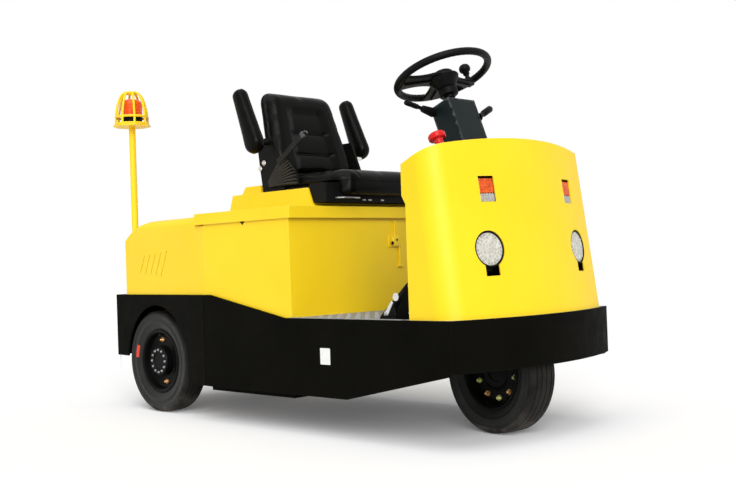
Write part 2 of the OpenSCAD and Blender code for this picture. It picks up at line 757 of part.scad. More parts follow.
// Red stop button on the right of the dash
module stop_button() color([0.85, 0.06, 0.05])
    translate([stop_x, -stop_y, dash_z(stop_x)]) rotate([0, -cowl_slope, 0]) {
        cylinder(r = 22, h = 8);
        cylinder(r = 14, h = 50);
        translate([0, 0, 46]) cylinder(r = 28, h = 14);
        translate([0, 0, 60]) intersection() {
            translate([0, 0, -46]) sphere(54);
            cylinder(r = 27, h = 20);
        }
    }

// Brake pedal hung from the kick panel
module brake_pedal() color(vinyl) translate([kick_x, -(drum_r + 79), floor_z]) {
    translate([-14, -20, 150]) cube([14, 40, 50]);
    side_plate(6, 12) polygon([[-8, 190], [-8, 165], [-100, 62], [-118, 74]]);
    translate([-112, 0, 66]) rotate([0, -52, 0]) translate([-32, -36, 0]) cube([70, 72, 10]);
}

// Drive pedal: a treadle on a floor block with a cheek against the kick panel
module drive_pedal() color(vinyl) translate([kick_x, -(skirt_in - 69), floor_z]) {
    side_plate(32, 64) polygon([[-172, 0], [-160, 14], [-42, 116], [-34, 106], [-104, 40], [-90, 0]]);
    side_plate(-26, 6) polygon([[-100, 0], [0, 0], [0, 150], [-46, 108]]);
}

// Side outline of the seat frame's cheeks
module cheek_outline() {
    polygon([[back_x - 90, hump_top], [back_x + 36, hump_top], [back_x + 30, back_z],
        [arm_pivot[0] + 26, arm_pivot[1] + 20], [arm_pivot[0] - 22, arm_pivot[1] + 20],
        [back_x - 114, back_z + 90], [back_x - 104, back_z + 16]]);
}

// Side outline of the seat's skirt, its back along the hump's front
module apron_outline() {
    polygon([[lid_x1 - 70, hump_top], [lid_x1 - 70, pan_top - eps], [apron_x, pan_top - eps],
        [apron_x, lid_top + 14], [lid_x1 - 48, lid_top + 14]]);
}

// Fan of pleats round the corner between the cushion and the back
module bellows_outline() translate(bellows) difference() {
    polygon([[0, 0], [110, 104], [129, 96], [174, 52], [195, 0]]);
    for (i = [1 : 8]) rotate(i * 4.8 - 2) translate([60, -1]) square([200, 2.5]);
}

// Seat frame: pan on the hump, skirt, cheeks with the armrest pins and the bellows on the right
module seat_base() color(vinyl) {
    translate([back_x - 50, -frame_y - 1, hump_top])
        cube([apron_x - back_x + 50, 2 * frame_y + 2, pan_top - hump_top]);
    across(hump_w - 16) apron_outline();
    side_plate(-frame_y - frame_t + eps, bellows_t) bellows_outline();
    for (side = [-1, 1]) hand(side) {
        side_plate(-frame_y, frame_t) cheek_outline();
        translate([arm_pivot[0], -frame_y, arm_pivot[1]]) rotate([90, 0, 0])
            cylinder(r = arm_pin_r, h = arm_span / 2 - frame_y - 6);
    }
}

// Side outline of the cushion with the lip that hangs in front of the skirt
module cushion_outline(front_x) {
    edge_r = 30;
    translate([back_x + 40, pan_top + seat_gap])
        square([front_x - edge_r - back_x - 40, cushion_top - pan_top - seat_gap]);
    translate([apron_x + seat_gap, lid_top + 34])
        square([front_x - apron_x - seat_gap, cushion_top - edge_r - lid_top - 34]);
    intersection() {
        translate([front_x - edge_r, cushion_top - edge_r]) circle(edge_r);
        translate([front_x - edge_r, cushion_top - edge_r]) square(edge_r);
    }
}

// Plan of the cushion, its front corners rounded
module cushion_plan(front_x) {
    side_y = cushion_w / 2 - cushion_corner;
    translate([back_x, -cushion_w / 2]) square([front_x - cushion_corner - back_x, cushion_w]);
    translate([back_x, -side_y]) square([front_x - back_x, 2 * side_y]);
    for (s = [-1, 1]) translate([front_x - cushion_corner, s * side_y]) circle(cushion_corner);
}

module seat_cushion() color(vinyl) intersection() {
    front_x = lid_x1 + 62;
    across(cushion_w + 2) cushion_outline(front_x);
    linear_extrude(big) cushion_plan(front_x);
}

// Seat back: parallel up to its waist, then drawn in to a rounded top
module seat_back() color(vinyl) translate([back_x, 0, back_z]) rotate([0, -back_lean, 0])
    translate([-back_t, 0, 0]) rotate([90, 0, 90]) linear_extrude(back_t) {
        translate([0, back_waist]) tapered_round(back_w, back_top_w, back_h - back_waist, 1, 60);
        translate([-back_w / 2, 35]) square([back_w, back_waist - 34]);
        translate([0, 40]) round_rect(back_w, 80, 35);
    }

// Armrest folded up beside the back, turning on the frame's pin
module armrest(side) color(vinyl) hand(side)
    translate([arm_pivot[0], -arm_span / 2, arm_pivot[1]]) rotate([0, -arm_lean, 0]) difference() {
        translate([0, arm_w / 2, -arm_d / 2]) rotate([90, 0, 0]) linear_extrude(arm_w)
            tapered_round(arm_d, arm_tip_d, arm_l, arm_d / 2 - 4, 26);
        rotate([-90, 0, 0]) cylinder(r = arm_pin_r + running, h = arm_w);
    }

// Belt buckle on a stalk from the seat's right side
module belt_buckle() color(vinyl)
    translate([bellows[0] + 94, -frame_y - frame_t - bellows_t + eps, bellows[1] + 90]) rotate([0, -32, 0])
        translate([0, -8, -12]) {
            cube([174, 8, 24]);
            translate([160, -4, -3]) cube([38, 16, 30]);
        }

// Beacon pole on the hood's corner, with the plate on top
module beacon_pole() color(yellow) difference() {
    translate([pole_x, pole_y, 0]) {
        translate([0, 0, fender_top + 100]) cylinder(r = pole_r, h = pole_top - fender_top - 100);
        translate([0, 0, pole_top]) rotate(22.5)
            cylinder(d = beacon_plate_d, h = plate_top - pole_top, $fn = 8);
    }
    hood_solid(0);
}

// Section of the cage's bell, o inside its face
module cage_bell(o) polygon([[0, 0], [72 - o, 0], [68 - o, cage_h * 0.42], [57 - o, cage_h * 0.77],
    [45 - o, cage_h],
    [0, cage_h]]);

// Guard cage: flat bars and three rings cut from one bell
module beacon_cage() color(yellow) translate([pole_x, pole_y, plate_top]) intersection() {
    rotate_extrude() difference() {
        cage_bell(0);
        translate([0, -1]) scale([1, 1.1]) cage_bell(5);
    }
    union() {
        for (i = [0 : cage_bars - 1]) rotate((i + 0.5) * 360 / cage_bars) translate([0, -6, 0])
            cube([big, 12, cage_h]);
        for (z = [0, cage_h * 0.42 - 5, cage_h - 10]) translate([0, 0, z]) cylinder(r = 100, h = 10);
    }
}

module beacon_base() color(vinyl) translate([pole_x, pole_y, plate_top])
    cylinder(r = 46, h = beacon_base_h);

module beacon_lamp() color([0.9, 0.25, 0.05]) translate([pole_x, pole_y, plate_top + beacon_base_h]) {
    cylinder(r = 43, h = 54);
    translate([0, 0, 54]) intersection() {
        translate([0, 0, -33]) sphere(54);
        cylinder(r = 43, h = 40);
    }
}

module tail_lamps() color([0.7, 0.05, 0.05]) for (side = [-1, 1])
    translate([fender_x - 22, side * (half_w - 152) - 30, fender_top - 91]) cube([22, 60, 60]);

chassis_frame();
skirt(-1);  // skirt_right
skirt(1);  // skirt_left
front_bumper();
fender(-1);  // fender_right
fender(1);  // fender_left
rear_plate();
tow_jaw();
rear_hood();
lid_hinge();
battery_box();
battery_lid();
lid_latch();
battery();
drive_axle();
drive_motor();
rear_rim(-1);  // rear_rim_right
rear_rim(1);  // rear_rim_left
rear_tyre(-1);  // rear_tyre_right
rear_tyre(1);  // rear_tyre_left
floor_plate();
steer_drum();
fork();
front_rim();
front_tyre();
cowl();
dash_panel();
headlamp(-1);  // headlamp_right
headlamp(1);  // headlamp_left
marker(-1);  // marker_right
marker(1);  // marker_left
steering_column();
steering_wheel();
column_levers();
stop_button();
brake_pedal();
drive_pedal();
seat_base();
seat_cushion();
seat_back();
armrest(-1);  // armrest_right
armrest(1);  // armrest_left
belt_buckle();
beacon_pole();
beacon_cage();
beacon_base();
beacon_lamp();
tail_lamps();
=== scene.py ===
import bpy
import bmesh
import json
from math import acos, asin, cos, exp, hypot, pi, radians, sin, sqrt, tan
from mathutils import Matrix, Vector
from mathutils.bvhtree import BVHTree


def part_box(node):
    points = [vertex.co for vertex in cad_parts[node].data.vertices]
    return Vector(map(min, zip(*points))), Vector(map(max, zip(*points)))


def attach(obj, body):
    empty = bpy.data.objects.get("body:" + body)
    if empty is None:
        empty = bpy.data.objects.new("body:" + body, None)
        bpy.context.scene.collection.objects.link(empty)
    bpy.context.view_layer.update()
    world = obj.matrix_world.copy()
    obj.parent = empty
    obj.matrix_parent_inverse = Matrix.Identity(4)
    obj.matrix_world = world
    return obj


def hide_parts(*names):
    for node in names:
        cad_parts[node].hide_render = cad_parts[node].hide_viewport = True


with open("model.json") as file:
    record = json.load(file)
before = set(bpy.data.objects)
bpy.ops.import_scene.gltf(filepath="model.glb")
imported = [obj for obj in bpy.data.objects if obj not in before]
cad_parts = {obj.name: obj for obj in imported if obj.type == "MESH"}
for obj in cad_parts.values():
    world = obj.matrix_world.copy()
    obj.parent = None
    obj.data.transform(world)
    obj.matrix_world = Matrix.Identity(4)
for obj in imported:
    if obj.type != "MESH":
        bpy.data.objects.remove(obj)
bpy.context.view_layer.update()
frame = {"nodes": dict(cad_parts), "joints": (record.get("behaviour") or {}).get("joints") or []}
scene = bpy.context.scene
nodes = frame["nodes"]
JOINTS = {j["name"]: j for j in frame["joints"]}

scene.view_settings.view_transform = "Standard"

# Camera fitted to the photograph: focal length in photograph pixels, angles in degrees, place in metres
FOCAL, YAW, PITCH, ROLL = 1060.136, 44.826, 0.8265, -2.0204
EYE = Vector((3.0533, -2.8074, 0.5899))
PHOTO_WIDTH = 736

# Sizes that the frame's boxes don't give, in metres; leans in degrees
BACK_PIVOT = Vector((-0.02, 0, 0.93))
BACK_W, BACK_TOP_W, BACK_WAIST, BACK_H, BACK_T = 0.404, 0.332, 0.09, 0.345, 0.064
BACK_LEAN, ARM_LEAN, COLUMN_TILT, COWL_LEAN, DASH_SLOPE = 17, 22, 20.7, 8, 24.5
ARM_L, ARM_D, ARM_TIP_D = 0.272, 0.092, 0.06
CUSHION_PAN = 0.873
WHEEL_MIDDLE = Vector((0.628, 0, 1.227))
FLOOR_Z = 0.4
COWL_FOOT, COWL_ARC = Vector((1.058, 0, 0.4)), 1.098
LAMP_R, LAMP_Y, LAMP_Z = 0.0575, 0.238, 0.616
MARKER_Y, MARKER_Z = 0.215, 0.803
TYRE_BEAD, TREAD_CROWN = 0.1215, 0.0015
RIM_SEAT, RIM_FLANGE, RIM_DISC = 0.1195, 0.1315, 0.011
HANDS = {"right": -1, "left": 1}

# Studio: the floor's grey, the white added where it is seen, and the sky's level as a light
FLOOR_GREY, FLOOR_GLOW, SKY_LIGHT = 0.94, 0.1, 0.3

# Cloth run that swells the pads
PRESSURE, CLOTH_STEPS = 4.0, 20


def add_object(name, data):
    ob = bpy.data.objects.new(name, data)
    scene.collection.objects.link(ob)
    return ob


# Camera, light and floor

def make_camera():
    yaw, pitch, roll = (radians(a) for a in (YAW, PITCH, ROLL))
    d = Vector((-cos(yaw) * cos(pitch), sin(yaw) * cos(pitch), sin(pitch)))
    right = Vector((sin(yaw), cos(yaw), 0))
    up = right.cross(d)
    r2 = cos(roll) * right + sin(roll) * up
    u2 = -sin(roll) * right + cos(roll) * up
    data = bpy.data.cameras.new("camera")
    data.sensor_width = 36
    data.sensor_fit = "HORIZONTAL"
    data.lens = data.sensor_width * FOCAL / PHOTO_WIDTH
    data.clip_end = 100
    m = Matrix((r2, u2, -d)).transposed().to_4x4()
    m.translation = EYE
    scene.camera = add_object("camera", data)
    scene.camera.matrix_world = m


def sun(name, direction, strength, angle):
    """A far soft lamp that shines along direction."""
    data = bpy.data.lights.new(name, "SUN")
    data.energy = strength
    data.angle = radians(angle)
    add_object(name, data).rotation_euler = Vector(direction).to_track_quat("-Z", "Y").to_euler()


def seen_directly(tree):
    """1 for rays from the camera, off gloss or through a lens, 0 for rays that light the object."""
    path = add_node(tree, "LightPath").outputs
    total = path["Is Camera Ray"]
    for name in ("Is Glossy Ray", "Is Transmission Ray"):
        total = maths(tree, "MAXIMUM", total, path[name])
    return total


def make_stage():
    """Pale floor, whitened a little where it is seen, with two soft lamps."""
    bpy.ops.mesh.primitive_plane_add(size=80)
    floor = bpy.context.object
    floor.name = "studio_floor"
    mat, tree = new_material("studio_floor")
    tree.nodes.clear()
    diffuse = add_node(tree, "BsdfDiffuse", {"Color": (FLOOR_GREY, FLOOR_GREY, FLOOR_GREY, 1)})
    glow = add_node(tree, "Emission", {"Strength": maths(tree, "MULTIPLY", seen_directly(tree), FLOOR_GLOW)})
    both = add_node(tree, "AddShader", {0: diffuse.outputs[0], 1: glow.outputs[0]})
    add_node(tree, "OutputMaterial", {"Surface": both.outputs[0]})
    floor.data.materials.append(mat)
    make_world()
    sun("key", (-0.15, 0.3, -1.0), 1.15, 50)
    sun("front", (-0.72, 0.62, -0.46), 2.4, 35)


def make_world():
    """White where the camera, a reflection or a lens looks at it, softer as a light."""
    world = bpy.data.worlds.new("studio")
    scene.world = world
    world.use_nodes = True
    tree = world.node_tree
    level = remap(tree, seen_directly(tree), 0, 1, SKY_LIGHT, 1)
    feed(tree, tree.nodes["Background"], {"Color": (1, 1, 1, 1), "Strength": level})


# Procedural materials

def new_material(name):
    mat = bpy.data.materials.new(name)
    mat.use_nodes = True
    return mat, mat.node_tree


def feed(tree, node, inputs):
    """Links or sets inputs of a shader node, by name or number."""
    for key, value in inputs.items():
        if isinstance(value, bpy.types.NodeSocket):
            tree.links.new(value, node.inputs[key])
        else:
            node.inputs[key].default_value = value
    return node


def add_node(tree, kind, inputs=None):
    return feed(tree, tree.nodes.new("ShaderNode" + kind), inputs or {})


def maths(tree, operation, a, b):
    node = add_node(tree, "Math", {0: a, 1: b})
    node.operation = operation
    return node.outputs[0]


def object_place(tree):
    return add_node(tree, "TexCoord").outputs["Object"]


def noise(tree, scale, detail=3.0):
    inputs = {"Vector": object_place(tree), "Scale": scale, "Detail": detail}
    return add_node(tree, "TexNoise", inputs).outputs["Fac"]


def cells(tree, scale, feature="F1"):
    node = add_node(tree, "TexVoronoi", {"Vector": object_place(tree), "Scale": scale})
    node.feature = feature
    return node.outputs["Distance"]


def remap(tree, value, low, high, to_low=0.0, to_high=1.0):
    inputs = {"Value": value, "From Min": low, "From Max": high, "To Min": to_low, "To Max": to_high}
    return add_node(tree, "MapRange", inputs).outputs[0]


def blend_colour(tree, factor, a, b):
    a, b = ((*colour, 1) if isinstance(colour, tuple) else colour for colour in (a, b))
    node = add_node(tree, "Mix", {0: factor, 6: a, 7: b})
    node.data_type = "RGBA"
    return node.outputs[2]


def bump(tree, shader, height, distance, strength=1.0):
    node = add_node(tree, "Bump", {"Height": height, "Distance": distance, "Strength": strength})
    feed(tree, shader, {"Normal": node.outputs[0]})


def highlit_worn_edges(tree, radius):
    """1 near a convex or concave edge, 0 on the flats, broken up by noise; it lays a lighter colour on the
    edges that is partly wear and partly a painted highlight.
    """
    bevel = add_node(tree, "Bevel", {"Radius": radius})
    bevel.samples = 4
    flat = add_node(tree, "NewGeometry")
    dot = add_node(tree, "VectorMath", {0: bevel.outputs[0], 1: flat.outputs["Normal"]})
    dot.operation = "DOT_PRODUCT"
    broken = remap(tree, noise(tree, 45), 0.42, 0.62)
    return maths(tree, "MULTIPLY", remap(tree, dot.outputs["Value"], 0.97, 0.8), broken)


def near_ground(tree, top):
    """1 at the ground, fading out at height top, broken up by noise."""
    height = add_node(tree, "SeparateXYZ", {0: object_place(tree)}).outputs["Z"]
    broken = remap(tree, noise(tree, 14, 5), 0.35, 0.75, 0, 0.7)
    return maths(tree, "MULTIPLY", remap(tree, height, top, 0.02), broken)


DUST = (0.16, 0.14, 0.12)


def finish(name, dark, light, rough, spec=0.5, metal=0.0, blotch=5.0, grain=700.0, relief=0.0001,
           highlit_worn_edge_colour=None, highlit_worn_edge_width=0.004, dust=None, coat=0.0):
    """A mottled, finely grained surface: colours dark to light, roughness low to high, relief in metres. Its
    edges are lightened partly as wear and partly as a painted highlight.
    """
    mat, tree = new_material(name)
    shader = tree.nodes["Principled BSDF"]
    colour = blend_colour(tree, remap(tree, noise(tree, blotch, 5), 0.3, 0.7), dark, light)
    # Lighter colour along the edges: partly wear, partly a painted highlight.
    if highlit_worn_edge_colour:
        colour = blend_colour(tree, highlit_worn_edges(tree, highlit_worn_edge_width), colour, highlit_worn_edge_colour)
    if dust:
        colour = blend_colour(tree, near_ground(tree, dust), colour, DUST)
    feed(tree, shader, {"Base Color": colour, "Metallic": metal, "Specular IOR Level": spec,
                        "Coat Weight": coat, "Coat Roughness": 0.15,
                        "Roughness": remap(tree, noise(tree, blotch * 7), 0.3, 0.7, *rough)})
    bump(tree, shader, noise(tree, grain), relief)
    return mat


def vinyl():
    """Grained black seat cover with a soft shine."""
    mat = finish("seat_vinyl", (0.0016, 0.0016, 0.0013), (0.0028, 0.0028, 0.0023), (0.25, 0.33), spec=0.07)
    tree = mat.node_tree
    bump(tree, tree.nodes["Principled BSDF"], cells(tree, 900, "DISTANCE_TO_EDGE"), 0.0004, 0.25)
    return mat


def lens(name, dark, light, through, pattern=320.0):
    """Moulded lamp lens with fine prisms behind a glossy face."""
    mat = finish(name, dark, light, (0.1, 0.2), spec=0.22, blotch=60, coat=0.1)
    tree = mat.node_tree
    shader = feed(tree, tree.nodes["Principled BSDF"], {"Transmission Weight": through, "IOR": 1.49})
    bump(tree, shader, cells(tree, pattern), 0.0006, 0.5)
    return mat


# The edge colours below are lighter than the paint: partly wear, partly a painted highlight along the edges.
YELLOW = finish("yellow_paint", (0.945, 0.632, 0.007), (0.975, 0.678, 0.012), (0.4, 0.52), spec=0.34,
                blotch=3.0, grain=420, relief=0.00012, highlit_worn_edge_colour=(0.98, 0.82, 0.16))
BLACK = finish("black_paint", (0.0026, 0.0025, 0.0018), (0.0046, 0.0044, 0.0033), (0.5, 0.64), spec=0.015,
               blotch=4.0, grain=380, relief=0.00018, highlit_worn_edge_colour=(0.022, 0.024, 0.024), dust=0.03)
CAST = finish("cast_black", (0.005, 0.005, 0.005), (0.011, 0.0105, 0.01), (0.5, 0.7), spec=0.1,
              blotch=12, grain=260, relief=0.0005, highlit_worn_edge_colour=(0.05, 0.046, 0.042), dust=0.3)
STEEL = finish("steel", (0.36, 0.36, 0.37), (0.55, 0.55, 0.56), (0.28, 0.45), metal=1.0, blotch=30, grain=900)
ZINC = finish("zinc", (0.62, 0.62, 0.6), (0.8, 0.8, 0.78), (0.22, 0.36), metal=0.9, blotch=60, grain=900)
COPPER = finish("copper_nut", (0.6, 0.32, 0.12), (0.78, 0.46, 0.18), (0.28, 0.42), metal=0.7, blotch=80,
                grain=900)
BRASS = finish("yellow_zinc", (0.46, 0.46, 0.14), (0.62, 0.62, 0.24), (0.3, 0.44), metal=0.6, blotch=80,
               grain=900)
RUBBER = finish("tyre_rubber", (0.007, 0.0074, 0.0066), (0.017, 0.0176, 0.0156), (0.36, 0.5), spec=0.2,
                blotch=9, grain=500, relief=0.0003, dust=0.025)
TREAD = finish("tyre_tread", (0.006, 0.0058, 0.0052), (0.022, 0.0208, 0.018), (0.62, 0.82), spec=0.1,
               blotch=16, grain=420, relief=0.0005, dust=0.1)
RIM = finish("rim_paint", (0.0024, 0.0025, 0.0023), (0.0042, 0.0044, 0.004), (0.3, 0.42), spec=0.06,
             blotch=5, grain=380, relief=0.00015)
PLEAT = finish("bellows_rubber", (0.012, 0.0122, 0.0112), (0.02, 0.0204, 0.019), (0.32, 0.44), spec=0.26,
               blotch=10, grain=900, relief=0.0002)
RED_MARK = finish("tyre_mark", (0.55, 0.03, 0.012), (0.7, 0.05, 0.018), (0.5, 0.6), blotch=50)
PLATE = finish("chequer_plate", (0.18, 0.18, 0.18), (0.28, 0.28, 0.275), (0.54, 0.7), metal=0.25, blotch=18,
               grain=800, relief=0.0002)
LOZENGE = finish("chequer_lozenge", (0.25, 0.25, 0.25), (0.36, 0.36, 0.35), (0.5, 0.64), metal=0.3,
                 blotch=40, grain=900)
PLASTIC = finish("black_plastic", (0.0026, 0.0027, 0.0026), (0.005, 0.0052, 0.0048), (0.38, 0.52), spec=0.08,
                 blotch=10, grain=1100, relief=0.0002)
WEBBING = finish("belt_webbing", (0.0085, 0.009, 0.008), (0.0135, 0.014, 0.0125), (0.5, 0.65), spec=0.16,
                 blotch=60, grain=1500, relief=0.0003)
# The column's light edge colour over a wide band is a painted highlight along its edges, not wear.
COLUMN = finish("column_grey", (0.0045, 0.0085, 0.0085), (0.0075, 0.013, 0.013), (0.28, 0.38), spec=0.1,
                blotch=6, grain=600, relief=0.0002, highlit_worn_edge_colour=(0.16, 0.19, 0.19), highlit_worn_edge_width=0.016)
CASE = finish("battery_case", (0.03, 0.033, 0.036), (0.05, 0.054, 0.058), (0.4, 0.55), blotch=6,
              highlit_worn_edge_colour=(0.12, 0.12, 0.12))
RED = finish("red_plastic", (0.62, 0.01, 0.008), (0.74, 0.016, 0.012), (0.24, 0.36), spec=0.22, blotch=20,
             coat=0.05)
STICKER = finish("blank_label", (0.78, 0.78, 0.77), (0.86, 0.86, 0.85), (0.35, 0.45), blotch=40, grain=1500)
VINYL = vinyl()
WHITE_LENS = lens("lamp_white", (0.66, 0.64, 0.54), (0.84, 0.82, 0.71), 0.25, 200)
AMBER_LENS = lens("lamp_amber", (0.6, 0.055, 0.002), (0.96, 0.15, 0.004), 0.15, 130)
ORANGE_LENS = lens("lamp_orange", (0.88, 0.07, 0.006), (0.98, 0.13, 0.01), 0.15, 160)
RED_LENS = lens("lamp_red", (0.45, 0.008, 0.006), (0.62, 0.014, 0.01), 0.2)
CLEAR_LENS = lens("lamp_clear", (0.52, 0.5, 0.47), (0.72, 0.7, 0.66), 0.45)

NODE_FINISH = {
    BLACK: ("chassis_frame", "skirt_right", "skirt_left", "front_bumper", "fender_right", "fender_left",
            "rear_plate", "steer_drum"),
    YELLOW: ("rear_hood", "battery_box", "battery_lid", "cowl", "beacon_pole"),
    CAST: ("tow_jaw", "drive_axle", "drive_motor", "fork"),
    PLASTIC: ("dash_panel", "seat_base"),
    STEEL: ("lid_hinge",), CASE: ("battery",), PLATE: ("floor_plate",), COLUMN: ("steering_column",),
}
EDGE_ROUND = {"steering_column": 0.006, "rear_hood": 0.0012, "battery_lid": 0.003, "battery_box": 0.0012,
              "cowl": 0.002, "tow_jaw": 0.003, "fender_right": 0.003, "fender_left": 0.003,
              "skirt_right": 0.003, "skirt_left": 0.003}


def dress_nodes():
    """Rounds the edges of each CAD node that stays in view and gives it its finish."""
    for name, material in ((name, material) for material, names in NODE_FINISH.items() for name in names):
        ob = nodes[name]
        for slot in ob.material_slots:
            slot.material = material
        weld = ob.modifiers.new("weld", "WELD")
        weld.merge_threshold = 0.00002
        flat = ob.modifiers.new("flat", "DECIMATE")
        flat.decimate_type = "DISSOLVE"
        flat.angle_limit = radians(0.4)
        edge = ob.modifiers.new("edge", "BEVEL")
        edge.width = EDGE_ROUND.get(name, 0.0015)
        edge.segments = 3
        edge.limit_method = "ANGLE"
        edge.angle_limit = radians(34)
        normals = ob.modifiers.new("normals", "WEIGHTED_NORMAL")
        normals.weight = 60


# Mesh building

def aim(origin, z, x=(0, 0, 1)):
    """A frame at origin with its Z along z and its X as near x as it goes."""
    z = Vector(z).normalized()
    x = Vector(x)
    x = (x - z * x.dot(z)).normalized()
    m = Matrix((x, z.cross(x), z)).transposed().to_4x4()
    m.translation = origin
    return m


def shift(x, y, z):
    return Matrix.Translation((x, y, z))


def spin(degrees, axis="Z"):
    return Matrix.Rotation(radians(degrees), 4, axis)


def leaning(origin, degrees):
    """A frame at origin that leans back about Y."""
    return shift(*origin) @ spin(-degrees, "Y")


def upright(y):
    """Stands an outline in the XZ plane at y, its depth towards -Y."""
    return shift(0, y, 0) @ spin(90, "X")


def mm(*points):
    """Points written in millimetres."""
    return [tuple(v / 1000 for v in point) for point in points]


def rectangle(x0, y0, x1, y1):
    return [(x0, y0), (x1, y0), (x1, y1), (x0, y1)]


def join_rings(bm, a, b):
    """Faces between two rings of points; a ring of one point makes a fan."""
    n = max(len(a), len(b))
    for i in range(n):
        j = (i + 1) % n
        corners = [a[i % len(a)], a[j % len(a)], b[j % len(b)], b[i % len(b)]]
        corners = list(dict.fromkeys(corners))
        if len(corners) > 2:
            bm.faces.new(corners)


def skin(bm, rings, closed=False, capped=False):
    """Faces from ring to ring, round to the first if closed, over both ends if capped."""
    for a, b in zip(rings, rings[1:] + (rings[:1] if closed else [])):
        join_rings(bm, a, b)
    if capped:
        bm.faces.new(rings[0])
        bm.faces.new(rings[-1])
    bmesh.ops.recalc_face_normals(bm, faces=bm.faces)
    return bm


def turns(n):
    """Even angles round a circle."""
    return [2 * pi * i / n for i in range(n)]


def lathe(profile, segments=64, closed=False):
    """Revolves (radius, height) points about Z."""
    bm = bmesh.new()
    rings = []
    for r, h in profile:
        if r < 1e-6:
            rings.append([bm.verts.new((0, 0, h))])
            continue
        rings.append([bm.verts.new((r * cos(t), r * sin(t), h)) for t in turns(segments)])
    return skin(bm, rings, closed)


def tube(points, radius, sides=12, closed=False):
    """A round bar along points; radius is one number or one for each point."""
    bm = bmesh.new()
    points = [Vector(p) for p in points]
    n = len(points)
    radii = radius if isinstance(radius, (list, tuple)) else [radius] * n
    rings = []
    side = None
    for i, p in enumerate(points):
        before = points[i - 1] if closed or i else p
        after = points[(i + 1) % n] if closed or i < n - 1 else p
        along = (after - before).normalized()
        if side is None:
            side = along.orthogonal().normalized()
        side = (side - along * side.dot(along)).normalized()
        other = along.cross(side)
        spokes = [cos(t) * side + sin(t) * other for t in turns(sides)]
        rings.append([bm.verts.new(p + radii[i] * spoke) for spoke in spokes])
    return skin(bm, rings, closed, not closed)


def rounded(corners, radius, steps=5):
    """A closed outline with its corners rounded; radius is one number or one for each corner."""
    radii = radius if isinstance(radius, (list, tuple)) else [radius] * len(corners)
    points = [Vector(c) for c in corners]
    outline = []
    for i, p in enumerate(points):
        a = (points[i - 1] - p).normalized()
        b = (points[(i + 1) % len(points)] - p).normalized()
        half = acos(max(-1, min(1, a.dot(b)))) / 2
        cut = radii[i] / tan(half)
        middle = p + (a + b).normalized() * radii[i] / sin(half)
        start, end = p + a * cut - middle, p + b * cut - middle
        sweep = start.angle_signed(end, 0)
        for k in range(steps + 1):
            turn = -sweep * k / steps
            spoke = Matrix.Rotation(turn, 2) @ start
            outline.append(tuple(middle + spoke))
    return outline


def pillow(outline, depth, edge, steps=3, crown=None):
    """A counter-clockwise outline extruded along Z, its edges rounded over, the upper one by crown."""
    bm = bmesh.new()
    points = [Vector((x, y, 0)) for x, y in outline]
    inward = []
    for i, p in enumerate(points):
        along = (points[(i + 1) % len(points)] - points[i - 1]).normalized()
        inward.append(Vector((-along.y, along.x, 0)))
    arc = [pi / 2 * k / steps for k in range(steps + 1)]
    levels = [(edge * (1 - sin(t)), edge * (1 - cos(t))) for t in arc]
    over, drop = crown or (edge, edge)
    levels += [(over * (1 - sin(t)), depth - drop * (1 - cos(t))) for t in reversed(arc)]
    rings = []
    for inset, z in levels:
        rings.append([bm.verts.new(p + n * inset + Vector((0, 0, z))) for p, n in zip(points, inward)])
    return skin(bm, rings, capped=True)


def block(x, y, z, edge, corner=None):
    """A box with rounded edges, its middle at the origin."""
    corner = edge if corner is None else corner
    outline = rounded(rectangle(-x / 2, -y / 2, x / 2, y / 2), corner)
    bm = pillow(outline, z, min(edge, z * 0.45))
    bm.transform(shift(0, 0, -z / 2))
    return bm


def hex_head(r, h):
    """Hexagon head on a round washer, standing on the origin."""
    bm = lathe([(0, h), (r * 0.82, h), (r, h * 0.86), (r, h * 0.2), (0, h * 0.2)], 6)
    return joined(bm, lathe([(0, h * 0.22), (r * 1.32, h * 0.22), (r * 1.42, h * 0.1), (r * 1.42, 0)], 24))


def stud_nut(r, h):
    """Wheel nut with the end of its stud."""
    bm = lathe([(0, h), (r * 0.55, h), (r * 0.62, h * 0.93), (r * 0.62, h * 0.7), (r * 0.86, h * 0.7),
                (r, h * 0.6), (r, 0)], 6)
    stud = [(r * 0.5, h * 0.9), (r * 0.5, h * 1.25), (r * 0.4, h * 1.35), (0, h * 1.35)]
    return joined(bm, lathe(stud, 16))


def joined(bm, part, place=Matrix()):
    """Adds part to bm at place."""
    part.transform(place)
    mesh = bpy.data.meshes.new("part")
    part.to_mesh(mesh)
    part.free()
    bm.from_mesh(mesh)
    bpy.data.meshes.remove(mesh)
    return bm


class Piece:
    """Gathers shapes and their finishes into one named object that rides on a body."""

    def __init__(self, name):
        self.name = name
        self.bm = bmesh.new()
        self.materials = []

    def add(self, part, material, place=Matrix()):
        if material not in self.materials:
            self.materials.append(material)
        for face in part.faces:
            face.material_index = self.materials.index(material)
        joined(self.bm, part, place)

    def done(self, body, slot, *replaced, sharp=38):
        bmesh.ops.remove_doubles(self.bm, verts=self.bm.verts, dist=0.000005)
        mesh = bpy.data.meshes.new(self.name)
        self.bm.to_mesh(mesh)
        self.bm.free()
        for material in self.materials:
            mesh.materials.append(material)
        mesh.shade_smooth()
        mesh.set_sharp_from_angle(angle=radians(sharp))
        settle(add_object(self.name, mesh), body, slot, *replaced)


def settle(ob, body, slot, *replaced):
    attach(ob, body)
    if replaced:
        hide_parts(*replaced)


def middle_of(node):
    lo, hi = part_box(node)
    return (lo + hi) / 2


# Wheels

